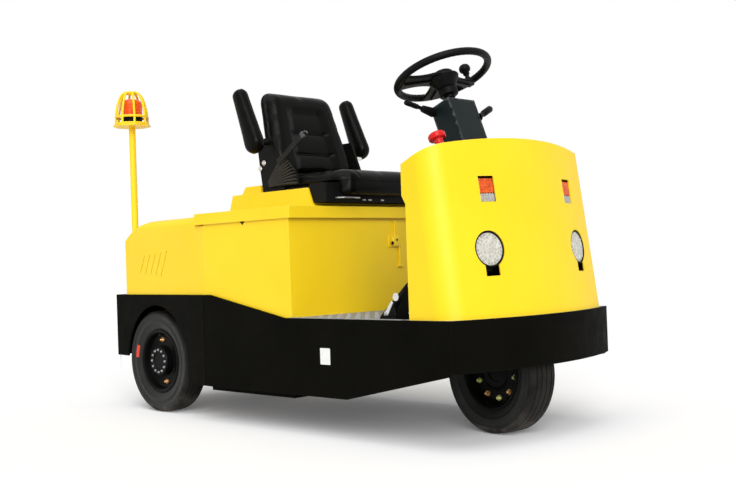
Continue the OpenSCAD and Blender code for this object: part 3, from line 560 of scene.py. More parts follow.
def tyre_tread(radius, half):
    """Tread from shoulder to shoulder as (radius, offset): four grooves and a slight crown."""
    groove_w, groove_d = 0.0042, 0.0055
    shoulder = 0.013
    edge = half - shoulder
    points = []
    for k in range(6):
        turn = radians(15 * k)
        drop = TREAD_CROWN + shoulder * (1 - sin(turn))
        points.append((radius - drop, edge + shoulder * cos(turn)))
    for middle in (0.74, 0.25, -0.25, -0.74):
        o = middle * edge
        r = radius - TREAD_CROWN * (middle * middle)
        points += [(r, o + groove_w / 2), (r - groove_d, o + groove_w * 0.4),
                   (r - groove_d, o - groove_w * 0.4), (r, o - groove_w / 2)]
    points += [(r, -o) for r, o in reversed(points[:6])]
    return points


def tyre_side(radius, half):
    """Side from the shoulder down to the bead as (radius, offset), with its moulded rings."""
    deep = radius - TREAD_CROWN - TYRE_BEAD
    rings = [(0.825, 1.000), (0.8, 0.985), (0.79, 0.998), (0.745, 0.996), (0.735, 0.975), (0.6, 0.962),
             (0.5, 0.945), (0.485, 0.962), (0.43, 0.955), (0.415, 0.93), (0.3, 0.885), (0.2, 0.83),
             (0.13, 0.775), (0.105, 0.77), (0.06, 0.74), (0.02, 0.7)]
    return [(TYRE_BEAD + deep * up, half * out) for up, out in rings]


def tyre(name, body, place, radius, half, marked):
    tread, side = tyre_tread(radius, half), tyre_side(radius, half)
    wall = tread[:1] + side
    piece = Piece(name)
    piece.add(lathe(tread, 128), TREAD, place)
    piece.add(lathe(wall + [(r, -o) for r, o in reversed(wall)], 128), RUBBER, place)
    if marked:
        piece.add(side_mark(side), RED_MARK, place)
    piece.done(body, "tyre_rubber", name, sharp=50)


def side_mark(profile):
    """Short painted stroke that follows the sidewall's profile."""
    bm = bmesh.new()
    rows = []
    for k in range(13):
        turn = radians(67 + 1.6 * k)
        row = []
        for i in range(9):
            radius = 0.147 + 0.0021 * i
            for (r1, z1), (r0, z0) in zip(profile, profile[1:]):
                if r0 <= radius <= r1:
                    out = z0 + (z1 - z0) * (radius - r0) / (r1 - r0)
            row.append(bm.verts.new((radius * cos(turn), radius * sin(turn), out + 0.0007)))
        rows.append(row)
    for a, b in zip(rows, rows[1:]):
        for i in range(8):
            bm.faces.new((a[i], a[i + 1], b[i + 1], b[i]))
    return bm


def rim(name, body, place, half, shaft, nuts, nut_ring, hub_out, hub_bolts):
    """Dished disc wheel: rolled flanges, barrel, disc, hub flange with its bolts and a ring of wheel nuts."""
    disc, hub = RIM_DISC, RIM_DISC + hub_out
    lip = half - 0.008
    roll = [(0.116, lip - 0.004), (0.123, lip + 0.0005), (RIM_FLANGE - 0.001, lip), (RIM_FLANGE, lip - 0.002),
            (RIM_FLANGE - 0.002, lip - 0.005), (0.122, lip - 0.0065), (RIM_SEAT, lip - 0.011)]
    profile = [(shaft, -lip), (0.046, -lip), (0.048, -half + 0.01), (0.05, disc - 0.01),
               (0.103, disc - 0.008), (0.1115, disc - 0.014), (0.1135, -lip + 0.014)]
    profile += [(r, -o) for r, o in roll] + roll[::-1]
    profile += [(0.1135, lip - 0.012), (0.1125, disc + 0.012), (0.109, disc + 0.004), (0.101, disc + 0.001),
                (0.068, disc), (0.062, disc + 0.003), (0.059, hub - 0.004), (0.056, hub), (0.036, hub),
                (0.034, hub - 0.003), (0.02, hub - 0.003), (0, hub - 0.003)]
    piece = Piece(name)
    piece.add(lathe(profile, 96), RIM, place)
    for i in range(hub_bolts):
        spot = spin(360 * i / hub_bolts) @ shift(0.0455, 0, hub - 0.0003)
        piece.add(hex_head(0.0034, 0.005), STEEL, place @ spot)
    for i in range(nuts):
        # On the rear wheels only the top and bottom nuts are copper; the other four take the black rim paint
        # as painted shade on nuts that are all alike.
        metal = (RIM if i % 3 else COPPER) if hub_bolts else (BRASS if i % 2 else COPPER)
        piece.add(stud_nut(0.01, 0.012), metal, place @ spin(360 * i / nuts + 7) @ shift(nut_ring, 0, disc))
    valve = [(0.104, 0.006, disc + 0.002), (0.105, 0.006, disc + 0.012), (0.106, 0.006, disc + 0.024)]
    piece.add(tube(valve, 0.0035), RUBBER, place)
    piece.done(body, "black_paint", name, sharp=30)


def wheels():
    for side, hand in HANDS.items():
        name, body = f"rear_tyre_{side}", f"rear_wheel_{side}"
        lo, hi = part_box(name)
        place = aim(middle_of(name), (0, hand, 0))
        half = (hi.y - lo.y) / 2
        tyre(name, body, place, (hi.z - lo.z) / 2, half, True)
        rim(f"rear_rim_{side}", body, place, half, 0.0302, 6, 0.086, 0.036, 12)
    joint = JOINTS["front_wheel_spin"]
    place = aim(joint["pos_m"], -Vector(joint["axis"]))
    half = 0.056
    tyre("front_tyre", "front_wheel", place, joint["pos_m"][2], half, False)
    rim("front_rim", "front_wheel", place, half, 0.0222, 10, 0.091, 0.01, 0)


# Steering

def grip_ring(mid, r, steps=216, sides=16, ripples=54, ripple=0.045):
    """Steering wheel rim with shallow finger grips round its inner side."""
    bm = bmesh.new()
    rings = []
    for a in turns(steps):
        ring = []
        for b in turns(sides):
            inner = max(0.0, -cos(b))
            here = r * (1 + ripple * inner * cos(ripples * a))
            out = mid + here * cos(b)
            ring.append(bm.verts.new((out * cos(a), out * sin(a), here * sin(b))))
        rings.append(ring)
    return skin(bm, rings, closed=True)


def spoke_outline(end, waist, start, stop):
    """Flat spoke along X that widens in arcs to the hub and to the rim."""
    half, middle = (stop - start) / 2, (stop + start) / 2
    arc = (half * half + (end - waist) ** 2) / (2 * (end - waist))
    xs = [start + (stop - start) * k / 16 for k in range(17)]
    edge = [(x, waist + arc - sqrt(arc * arc - (x - middle) ** 2)) for x in xs]
    return [(x, -w) for x, w in edge] + edge[::-1]


def steering_wheel():
    place = leaning(WHEEL_MIDDLE, COLUMN_TILT)
    tube_r = 0.013
    mid = -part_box("steering_wheel")[0].y - tube_r
    piece = Piece("steering_wheel")
    piece.add(grip_ring(mid, tube_r), PLASTIC, place)
    for turn, end, waist in ((95, 0.03, 0.018), (152, 0.04, 0.029), (245, 0.052, 0.036)):
        spoke = pillow(spoke_outline(end, waist, 0.028, mid - 0.004), 0.011, 0.0035)
        piece.add(spoke, PLASTIC, place @ spin(turn) @ shift(0, 0, -0.015))
        rib = rounded([(0.034, -0.005), (mid - 0.012, -0.0035), (mid - 0.012, 0.0035), (0.034, 0.005)], 0.003)
        piece.add(pillow(rib, 0.008, 0.002), PLASTIC, place @ spin(turn) @ shift(0, 0, -0.021))
    hub = mm((0, 13), (20, 12.5), (31, 10.5), (37, 6), (38.5, 1), (38.5, -4), (41, -6.5), (52, -9.5),
             (54, -14), (52, -20), (44, -33), (37, -45), (33, -53), (29, -55), (29, -58), (33.5, -60),
             (33.5, -78), (31, -81), (19, -83))
    piece.add(lathe(hub, 64), PLASTIC, place)
    shaft = mm((19, -82), (19, -90), (12, -92), (12, -168), (0, -170))
    piece.add(lathe(shaft, 32), PLASTIC, place)
    knob = place @ spin(96) @ shift(mid, 0, 0)
    clamp = rounded(rectangle(-0.019, -0.014, 0.013, 0.014), 0.006)
    piece.add(pillow(clamp, 0.03, 0.004), PLASTIC, knob @ shift(0, 0, -0.015))
    piece.add(lathe(mm((10, 12), (8.5, 22), (7.5, 28), (11, 30), (12.5, 33.5), (10.5, 36), (12.5, 39),
                       (19.5, 46), (21, 53), (19.8, 61), (16, 67), (8, 71.5), (0, 72.5)), 40), PLASTIC, knob)
    piece.done("steering_wheel", "black_plastic", "steering_wheel")


def column_levers():
    """Direction lever with its ribbed boot on the right, brake lever with a round grip on the left."""
    place = leaning(WHEEL_MIDDLE, COLUMN_TILT)
    lo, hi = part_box("steering_column")
    half = (hi.y - lo.y) / 2
    piece = Piece("column_levers")
    collar = mm((15, 0), (15, 6), (13.8, 7.8), (0, 8))
    boot = []
    for i in range(8):
        out, thick, thin = 0.004 + 0.0064 * i, 0.0165 - 0.0006 * i, 0.0122 - 0.0004 * i
        boot += [(thick, out), (thick, out + 0.0028), (thin, out + 0.004), (thin, out + 0.0058)]
    boot += [(0.0075, 0.056), (0.0065, 0.06)]
    reach = Vector((0, -0.13, 0.029))
    long = reach.length
    grip = [(0.0065, 0.054), (0.0065, long * 0.55), (0.0088, long * 0.58), (0.0092, long * 0.72),
            (0.008, long * 0.735), (0.008, long * 0.755), (0.0092, long * 0.77), (0.009, long * 0.97),
            (0.007, long), (0, long)]
    root = Vector((-0.036, -half, -0.134))
    piece.add(lathe(collar, 32), PLASTIC, place @ aim(root, (0, -1, 0)))
    for shape in (boot, grip):
        piece.add(lathe(shape, 32), PLASTIC, place @ aim(root, reach))
    reach = Vector((0, 0.088, 0.042))
    long = reach.length
    stalk = [(0.012, 0.006), (0.0095, 0.012), (0.0088, long * 0.36), (0.0118, long * 0.4),
             (0.0122, long * 0.93), (0.0095, long * 0.985), (0, long)]
    root = Vector((0.036, half, -0.178))
    piece.add(lathe(collar, 32), PLASTIC, place @ aim(root, (0, 1, 0)))
    piece.add(lathe(stalk, 32), PLASTIC, place @ aim(root, reach))
    piece.done("chassis", "black_plastic", "column_levers")


def stop_button():
    lo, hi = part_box("stop_button")
    slope, foot_r = radians(DASH_SLOPE), 0.022
    foot = (hi.x - foot_r * cos(slope), (lo.y + hi.y) / 2, lo.z + foot_r * sin(slope))
    neck = [(foot_r, 0), (foot_r, 0.006), (0.02, 0.008), (0.0175, 0.0085), (0.0165, 0.012), (0.0145, 0.016),
            (0.014, 0.04), (0.0165, 0.044)]
    head = mm((16.5, 44), (25.5, 44.5), (28, 47), (28.5, 51), (27.8, 55), (28.5, 57), (27.8, 60),
              (24, 64.5), (15, 67.2), (6, 68), (0, 68.1))
    piece = Piece("stop_button")
    for shape in (neck, head):
        piece.add(lathe(shape, 48), RED, leaning(foot, DASH_SLOPE))
    piece.done("chassis", "red_plastic", "stop_button")


# Lamps

def on_cowl(y, z):
    """A frame on the cowl's curved, leaning face with its Z outwards and its X down."""
    up = (z - FLOOR_Z) / cos(radians(COWL_LEAN))
    middle = leaning(COWL_FOOT, COWL_LEAN) @ shift(-COWL_ARC, 0, up)
    swing = Matrix.Rotation(asin(y / COWL_ARC), 4, "Z")
    return middle @ swing @ shift(COWL_ARC, 0, 0) @ spin(90, "Y")


def headlamp(side):
    """Round work lamp: black case and ring, milky lens with its rings of small bulbs."""
    name = f"headlamp_{side}"
    r = LAMP_R
    place = on_cowl(HANDS[side] * LAMP_Y, LAMP_Z) @ shift(0, 0, -0.002)
    piece = Piece(name)
    case = [(0, -0.052), (0.026, -0.052), (0.03, -0.048), (0.049, -0.024), (r - 0.003, -0.0215), (r, -0.018),
            (r, -0.003), (r - 0.0012, -0.0008), (r - 0.0036, 0), (r - 0.0058, -0.001), (r - 0.0066, -0.004)]
    piece.add(lathe(case, 72), PLASTIC, place)
    glass = [(r - 0.006, -0.0034), (r - 0.01, -0.0026), (r * 0.6, -0.0012), (r * 0.3, -0.0005),
             (0, -0.0003)]
    piece.add(lathe(glass, 72), WHITE_LENS, place)
    cup = mm((4.4, -1.2), (4, 0.3), (2.8, 0.6), (1.6, 0.1), (0, 0))
    for count, out in ((1, 0), (6, 0.012), (12, 0.0235), (18, 0.035), (24, 0.045)):
        for i in range(count):
            spot = spin(360 * i / count + 7 * count) @ shift(out, 0, -0.003 + 0.0024 * (1 - (out / r) ** 2))
            piece.add(lathe(cup, 12), CLEAR_LENS if (i + count) % 5 else ZINC, place @ spot)
    piece.add(block(0.03, 0.036, 0.018, 0.003), PLASTIC, place @ shift(r - 0.004, 0, -0.03))
    piece.done("chassis", "lamp_white", name)


def marker(side):
    """Indicator over a clear lower lens, with rows of small prisms."""
    name = f"marker_{side}"
    w, h, deep = 0.062, 0.082, 0.023
    place = on_cowl(HANDS[side] * MARKER_Y, MARKER_Z) @ shift(0, 0, -0.003)
    split = h * 0.17
    prism = mm((4.4, 0), (3.8, 0.7), (2, 1.3), (0, 1.5))
    piece = Piece(name)
    piece.add(block(h, w, deep * 0.5, 0.002, 0.004), PLASTIC, place @ shift(0, 0, -deep * 0.75))
    for top, bottom, material in ((0.007 - h / 2, split, AMBER_LENS), (split, h / 2, CLEAR_LENS)):
        tall = bottom - top
        front = place @ shift((top + bottom) / 2, 0, -deep * 0.26)
        piece.add(block(tall - 0.002, w - 0.003, deep * 0.48, 0.003, 0.005), material, front)
        rows = max(2, round(tall / 0.0105))
        for i in range(rows):
            for k in range(5):
                spot = shift((i - (rows - 1) / 2) * 0.0098, (k - 2) * 0.0108, deep * 0.24 - 0.0003)
                piece.add(lathe(prism, 10), material, front @ spot)
    piece.done("chassis", "lamp_amber", name)


def beacon():
    """Black base, ribbed lamp on a zinc ring, and a cage of round bars."""
    lo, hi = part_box("beacon_base")
    x, y = (lo.x + hi.x) / 2, (lo.y + hi.y) / 2
    r, tall = (hi.x - lo.x) / 2, hi.z - lo.z
    foot = [(0, 0), (r, 0), (r, 0.006), (r - 0.002, 0.009), (r - 0.003, tall - 0.01),
            (r - 0.001, tall - 0.008), (r - 0.001, tall - 0.003), (r - 0.004, tall), (0, tall)]
    base = Piece("beacon_base")
    base.add(lathe(foot, 56), PLASTIC, shift(x, y, lo.z))
    base.done("chassis", "black_plastic", "beacon_base")

    lo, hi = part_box("beacon_cage")
    tall, bar = hi.z - lo.z, 0.005

    def around(out, up, turn):
        return (x + out * cos(turn), y + out * sin(turn), lo.z + up * tall)

    bell = [(0.067, 0.0), (0.0668, 0.12), (0.066, 0.24), (0.0642, 0.37), (0.061, 0.5), (0.0565, 0.63),
            (0.0505, 0.76), (0.043, 0.87), (0.034, 0.94), (0.025, 0.965)]
    cage = Piece("beacon_cage")
    for i in range(8):
        turn = radians(45 * i + 22.5)
        cage.add(tube([around(out, up, turn) for out, up in bell], bar, 10), YELLOW)
    for out, up in ((0.067, 0.035), (0.066, 0.24), (0.025, 0.965)):
        ring = [around(out, up, radians(7.5 * k)) for k in range(48)]
        cage.add(tube(ring, bar, 10, closed=True), YELLOW)
    cage.done("chassis", "yellow_paint", "beacon_cage")

    lo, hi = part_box("beacon_lamp")
    r, tall = (hi.x - lo.x) / 2 + 0.003, hi.z - lo.z
    shoulder = tall - 0.021
    dome = [(r - 0.001, 0), (r, 0.002), (r, 0.006), (r - 0.0015, 0.008)]
    dome += [(r - 0.001 - (0.0014 if k % 2 else 0), 0.009 + (shoulder - 0.01) / 11 * k) for k in range(12)]
    dome += [((r - 0.0015) * cos(t), shoulder + (tall - shoulder) * sin(t)) for t in
             (radians(90 * k / 8) for k in range(8))] + [(0, tall)]
    lamp = Piece("beacon_lamp")
    lamp.add(lathe(dome, 56), ORANGE_LENS, shift(x, y, lo.z))
    lamp.add(lathe(rectangle(r - 0.004, 0, r + 0.001, 0.005), 56, closed=True), ZINC, shift(x, y, lo.z))
    lamp.done("chassis", "lamp_orange", "beacon_lamp")


def tail_lamps():
    lo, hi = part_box("tail_lamps")
    piece = Piece("tail_lamps")
    size, deep = hi.z - lo.z, hi.x - lo.x
    for y in (lo.y + size / 2, hi.y - size / 2):
        face = aim((lo.x, y, (lo.z + hi.z) / 2), (-1, 0, 0))
        piece.add(block(size, size, deep * 0.55, 0.003, 0.006), PLASTIC, face @ shift(0, 0, -deep * 0.72))
        for tall, up, glass in ((0.62, 0.16, RED_LENS), (0.3, -0.32, AMBER_LENS)):
            piece.add(block(size * tall, size - 0.006, deep * 0.5, 0.003, 0.006), glass,
                      face @ shift(size * up, 0, -deep * 0.25))
    piece.done("chassis", "lamp_red", "tail_lamps")


# Seat

def inflate(ob, cap):
    """Swells a closed mesh as filled cover by a short cloth run; no point moves further than cap."""
    rest = [v.co.copy() for v in ob.data.vertices]
    cloth = ob.modifiers.new("cloth", "CLOTH")
    cloth.settings.use_pressure = True
    cloth.settings.uniform_pressure_force = PRESSURE
    cloth.settings.effector_weights.gravity = 0
    cloth.point_cache.frame_start = 1
    cloth.point_cache.frame_end = CLOTH_STEPS
    for step in range(CLOTH_STEPS):
        scene.frame_set(step + 1)
    swollen = ob.evaluated_get(bpy.context.evaluated_depsgraph_get())
    moved = [v.co.copy() for v in swollen.data.vertices]
    ob.modifiers.remove(cloth)
    for v, a, b in zip(ob.data.vertices, rest, moved):
        step = b - a
        v.co = a + step * min(1.0, cap / max(step.length, 1e-9))
    scene.frame_set(1)


def soften(bm, rounds):
    for _ in range(rounds):
        bmesh.ops.smooth_vert(bm, verts=bm.verts, factor=0.5, use_axis_x=True, use_axis_y=True,
                              use_axis_z=True)


def padded(name, shape, voxel, cap, sewn, place, body, node):
    """Foam under vinyl: remeshed, swollen as cloth, smoothed, then sewn by moving points in its own frame."""
    mesh = bpy.data.meshes.new(name)
    shape.to_mesh(mesh)
    shape.free()
    ob = add_object(name, mesh)
    bpy.context.view_layer.objects.active = ob
    mesh.remesh_voxel_size = voxel
    bpy.ops.object.voxel_remesh()
    inflate(ob, cap)
    bm = bmesh.new()
    bm.from_mesh(ob.data)
    soften(bm, 6)
    bmesh.ops.subdivide_edges(bm, edges=bm.edges, cuts=1, use_grid_fill=True)
    soften(bm, 2)
    bm.normal_update()
    for v in bm.verts:
        v.co += v.normal * sewn(v.co, v.normal)
    soften(bm, 1)
    bm.transform(place)
    bm.to_mesh(ob.data)
    bm.free()
    ob.data.materials.append(VINYL)
    ob.data.shade_smooth()
    settle(ob, body, "seat_vinyl", node)
    return ob


def groove(distance, depth, width):
    return -depth * exp(-(distance / width) ** 2)


def sewn_back(co, normal):
    """Recessed centre panel of three rolls between round bolsters; co is (out of the back, across, up)."""
    if normal.x < 0.15:
        return 0.0
    lines = (0.004, 0.092, 0.182, 0.274)
    panel_half = 0.104 - 0.07 * co.z
    half = BACK_W / 2 - max(0, co.z - BACK_WAIST) * (BACK_W - BACK_TOP_W) / 2 / (BACK_H - BACK_WAIST)
    edge = max(0, 1 - (half - abs(co.y)) / 0.06)
    crest = max(0, 1 - (BACK_H - co.z) / 0.06)
    move = -0.006 * edge ** 2 - 0.002 * crest ** 2
    side, over = abs(co.y) - panel_half, co.z - lines[-1]
    inside = min(1, max(0, 0.5 - side / 0.042)) * min(1, max(0, 0.5 - over / 0.036))
    inside = inside * inside * (3 - 2 * inside)
    roll = max(((co.z - low) * (high - co.z) / ((high - low) / 2) ** 2 for low, high in zip(lines, lines[1:])
                if low <= co.z <= high), default=0)
    move += inside * (0.01 * sqrt(max(0, roll)) - 0.02)
    move += inside * sum(groove(co.z - line, 0.004, 0.0045) for line in lines[1:3])
    return move * min(1, (normal.x - 0.15) / 0.3)


def sewn_cushion(co, normal):
    """Crowned top with bolsters along the sides and sewn lines across; co is in the shared frame."""
    if normal.z < 0.25:
        return 0.0
    side = abs(co.y) - 0.128
    move = groove(side, 0.005, 0.0048)
    lines = (0.045, 0.115, 0.185, 0.255)
    if side < 0:
        ease = min(1, -side / 0.02)
        gap = lines[1] - lines[0]
        move += ease * 0.004 * (abs(sin(pi * (co.x - lines[0]) / gap)) - 1) * (co.x < lines[-1])
        move += ease * sum(groove(co.x - line, 0.003, 0.0042) for line in lines)
    return move * min(1, (normal.z - 0.25) / 0.4)


def unsewn(co, normal):
    return 0.0


def piping(name, pad, path, body, r=0.0028):
    """Cord sewn along a seam, laid on the pad's own surface."""
    tree = BVHTree.FromPolygons([v.co for v in pad.data.vertices], [p.vertices for p in pad.data.polygons])
    laid = []
    for p in path:
        spot, normal, _, _ = tree.find_nearest(Vector(p))
        laid.append(spot + normal * r * 0.35)
    piece = Piece(name)
    piece.add(tube(laid, r, 8, closed=True), VINYL)
    piece.done(body, "seat_vinyl")


def outline_path(outline, spacing=0.008):
    """Points at an even spacing round a closed outline."""
    path = []
    for a, b in zip(outline, outline[1:] + outline[:1]):
        a, b = Vector(a), Vector(b)
        steps = max(1, round((b - a).length / spacing))
        path += [tuple(a.lerp(b, k / steps)) for k in range(steps)]
    return path


def back_outline(inset):
    low, high, top = BACK_W / 2 - inset, BACK_TOP_W / 2 - inset, BACK_H + 0.01 - inset
    return rounded([(-low, inset), (low, inset), (low, BACK_WAIST), (high, top), (-high, top),
                    (-low, BACK_WAIST)], [0.054, 0.054, 0.08, 0.058, 0.058, 0.08], 8)


def seat_back():
    place = leaning(BACK_PIVOT, BACK_LEAN)
    lay = Matrix(((0, 0, 1, 0), (1, 0, 0, 0), (0, 1, 0, 0), (0, 0, 0, 1)))
    shape = pillow(back_outline(-0.009), BACK_T - 0.004, 0.012, 7, (0.052, 0.044))
    shape.transform(shift(-BACK_T + 0.002, 0, 0) @ lay)
    pad = padded("seat_back", shape, 0.006, 0.006, sewn_back, place, "lid", "seat_back")
    seam = outline_path(back_outline(0.000))
    piping("seat_back_piping", pad, [place @ Vector((-BACK_T + 0.018, y, z)) for y, z in seam], "lid")


def seat_cushion():
    """Crowned pad with rounded front corners and a lip that hangs in front of the skirt."""
    lo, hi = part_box("seat_cushion")
    trim = 0.004
    side = (hi.y - lo.y) / 2 + 0.004
    plan = rounded(rectangle(lo.x + trim, -side, hi.x - trim, side), [0.048, 0.078, 0.078, 0.048], 8)
    shape = pillow(plan, hi.z - CUSHION_PAN - 0.003, 0.012, 6, (0.046, 0.036))
    shape.transform(shift(0, 0, CUSHION_PAN + 0.002))
    back, front = hi.x - 0.041, hi.x - trim - 0.002
    wide, narrow = side - 0.012, side - 0.046
    corners = [(back, -wide), (front, -narrow), (front, narrow), (back, wide)]
    lip = rounded(corners, [0.004, 0.03, 0.03, 0.004], 6)
    joined(shape, pillow(lip, hi.z - lo.z - 0.024, 0.01, 4), shift(0, 0, lo.z + 0.003))
    pad = padded("seat_cushion", shape, 0.006, 0.006, sewn_cushion, Matrix(), "lid", "seat_cushion")
    line = [(x, y, CUSHION_PAN + 0.01) for x, y in outline_path(plan)]
    piping("cushion_piping", pad, line, "lid", 0.0022)


def armrest(side):
    """Padded armrest, deeper at its pivot, its edges fully rounded."""
    name = f"armrest_{side}"
    lo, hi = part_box(name)
    pivot = Vector(JOINTS[f"{name}_fold"]["pos_m"])
    pivot.y = (lo.y + hi.y) / 2
    wide, trim = hi.y - lo.y, 0.002
    low, high, tip = ARM_D / 2 - trim, ARM_TIP_D / 2 - trim, ARM_L - ARM_D / 2 - trim
    section = rounded([(-low, -low), (low, -low), (high, tip), (-high, tip)], [0.04, 0.04, 0.024, 0.024], 8)
    shape = pillow(section, wide - 2 * trim, 0.023, 6)
    shape.transform(upright(wide / 2 - trim))
    place = leaning(pivot, ARM_LEAN)
    pad = padded(name, shape, 0.005, 0.004, unsewn, place, name, name)
    seam = [(x * 1.02, 0, z * 1.01) for x, z in outline_path(section)]
    piping(f"{name}_seam", pad, [place @ Vector(p) for p in seam], name, 0.0012)


def bellows():
    """Fan of moulded pleats over the seat's right hinge."""
    root, y = Vector((-0.096, 0.881)), -0.2235
    piece = Piece("seat_bellows")
    for i in range(10):
        degrees = 1.5 + 4.5 * i
        turn = radians(degrees)
        reach = 0.197 - 0.00102 * degrees
        path, radii = [], []
        for k in range(10):
            t = k / 9
            out = 0.028 + (reach - 0.028) * t
            bow = 0.004 * sin(pi * t)
            path.append((root.x + out * cos(turn), y, root.y + out * sin(turn) + bow))
            radii.append((0.0018 + 0.0036 * min(1, t * 1.3)) * (1 if k < 9 else 0.5))
        piece.add(tube(path, radii, 10), PLEAT)
    piece.done("lid", "black_plastic")


def belt_stalk():
    """Stiff strap with the buckle at its end."""
    lo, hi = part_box("belt_buckle")
    rise = radians(32)
    here = aim((-0.002, (lo.y + hi.y) / 2, 0.971), (cos(rise), 0, sin(rise)), (0, 1, 0))
    piece = Piece("belt_buckle")
    lengths = ((WEBBING, 0.004, 0.012, 0.003, 0, 0.16, 0.002),
               (WEBBING, 0.005, 0.0135, 0.003, -0.004, 0.026, 0.002),
               (CASE, 0.0065, 0.0125, 0.004, 0.156, 0.016, 0.003))
    for material, thick, wide, corner, start, long, edge in lengths:
        section = rounded(rectangle(-thick, -wide, thick, wide), corner)
        piece.add(pillow(section, long, edge), material, here @ shift(0, 0, start))
    for side in (-0.0095, 0.0095):
        piece.add(block(0.0088, 0.0012, 0.15, 0.0005), WEBBING, here @ shift(0, side, 0.08))
    hook = mm((0, 6, 170), (0, 4, 182), (0, -4, 189), (0, -13, 190))
    piece.add(tube([here @ Vector(p) for p in hook], 0.0032, 10), CASE)
    piece.done("lid", "black_plastic", "belt_buckle")


def seat_hardware():
    """Bolts on the seat's cheeks, the plate under the back, and the slide handle under the cushion."""
    cheek = 0.2121
    piece = Piece("seat_bolts")
    for side in (-1, 1):
        for x, z in ((-0.109, 0.978), (-0.133, 0.958)):
            piece.add(hex_head(0.0072, 0.006), ZINC, aim((x, side * cheek, z), (0, side, 0)))
    pin = mm((8, 0), (8, 24), (7, 26), (0, 26))
    piece.add(lathe(pin, 24), ZINC, aim((-0.036, cheek, 1.006), (0, 1, 0)))
    piece.add(block(0.004, 0.4, 0.07, 0.001), BLACK, shift(-0.062, 0, 0.909))
    piece.done("lid", "steel")
    rails = Piece("seat_handle")
    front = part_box("seat_cushion")[1].x
    handle = [(front - back, y, z) for back, y, z in (
        (0.045, -0.215, 0.818), (0.016, -0.208, 0.817), (0.01, -0.2, 0.817),
        (0.01, -0.13, 0.817), (0.016, -0.122, 0.817), (0.045, -0.115, 0.818))]
    rails.add(tube(handle, 0.0025, 10), STEEL)
    for y in (-0.075, -0.045, 0.02):
        rails.add(block(0.006, 0.016, 0.006, 0.002), STEEL, shift(front - 0.042, y, 0.812))
    rails.done("lid", "steel")


# Body details

def chequer():
    """Raised lozenges over the open part of the floor, alternating in direction."""
    pitch = 0.023
    lo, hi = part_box("floor_plate")
    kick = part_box("dash_panel")[0].x
    king = Vector(JOINTS["fork_steer"]["pos_m"])
    drum = (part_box("steer_drum")[1].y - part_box("steer_drum")[0].y) / 2
    outline = mm((-9.5, 0), (-3.5, -2.4), (3.5, -2.4), (9.5, 0), (3.5, 2.4), (-3.5, 2.4))
    blocked = [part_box("drive_pedal"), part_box("lid_latch")]
    piece = Piece("floor_lozenges")
    rows = int((kick - lo.x) / pitch)
    columns = int((hi.y - lo.y - 0.02) / pitch)
    for i in range(rows):
        for k in range(columns):
            x = lo.x + 0.014 + i * pitch
            y = lo.y + 0.016 + k * pitch
            if hypot(x - king.x, y) < drum + 0.014 or x > kick - 0.014:
                continue
            if any(a.x - 0.012 < x < b.x + 0.012 and a.y - 0.012 < y < b.y + 0.012 and a.z < FLOOR_Z + 0.01
                   for a, b in blocked):
                continue
            bm = bmesh.new()
            foot = [bm.verts.new((px, py, 0)) for px, py in outline]
            top = [bm.verts.new((px * 0.78, py * 0.6, 0.001)) for px, py in outline]
            join_rings(bm, foot, top)
            bm.faces.new(top)
            piece.add(bm, LOZENGE, shift(x, y, FLOOR_Z) @ spin(45 if (i + k) % 2 else -45))
    piece.done("chassis", "chequer_plate", sharp=20)


def latch():
    """Over-centre toggle latch: hook, body with its pivots, and a rod with a cross foot."""
    wall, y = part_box("lid_latch")[0].x, 0.11
    piece = Piece("lid_latch")

    def at(up, side=0.0, out=0.0):
        return aim((wall + out, y + side, up), (1, 0, 0))

    plate = rounded(rectangle(-0.022, -0.029, 0.022, 0.029), 0.006)
    piece.add(pillow(plate, 0.005, 0.0015), YELLOW, at(0.658))
    body = rounded(mm((-16, -22), (18, -22), (18, 10), (-16, 16)), 0.006)
    piece.add(pillow(body, 0.0085, 0.0025), YELLOW, at(0.657, 0, 0.0045))
    for side, up in ((-0.014, 0.652), (0.008, 0.664)):
        piece.add(hex_head(0.0055, 0.0026), CAST, at(up, side, 0.0109))
    for side in (-0.02346, 0.02346):
        piece.add(hex_head(0.003, 0.0026), YELLOW, at(0.674, side, 0.0048))
    hook = ((0.006, 0.672), (0.006, 0.722), (0.0055, 0.73), (0.002, 0.736), (-0.0005, 0.733))
    rod = ((0.03, 0.646), (0.03, 0.6), (0.03, 0.564))
    foot = ((0.017, 0.564), (0.043, 0.564))
    for out, path in ((0.0045, hook), (0.004, rod), (0.004, foot)):
        piece.add(tube([(wall + out, y + side, up) for side, up in path], 0.0036, 12), YELLOW)
    piece.done("chassis", "yellow_paint", "lid_latch")


def in_profile(front, corners, radius):
    """A rounded side view from (x from the front, height over the floor) corners."""
    return rounded([(front + x, FLOOR_Z + z) for x, z in corners], radius)


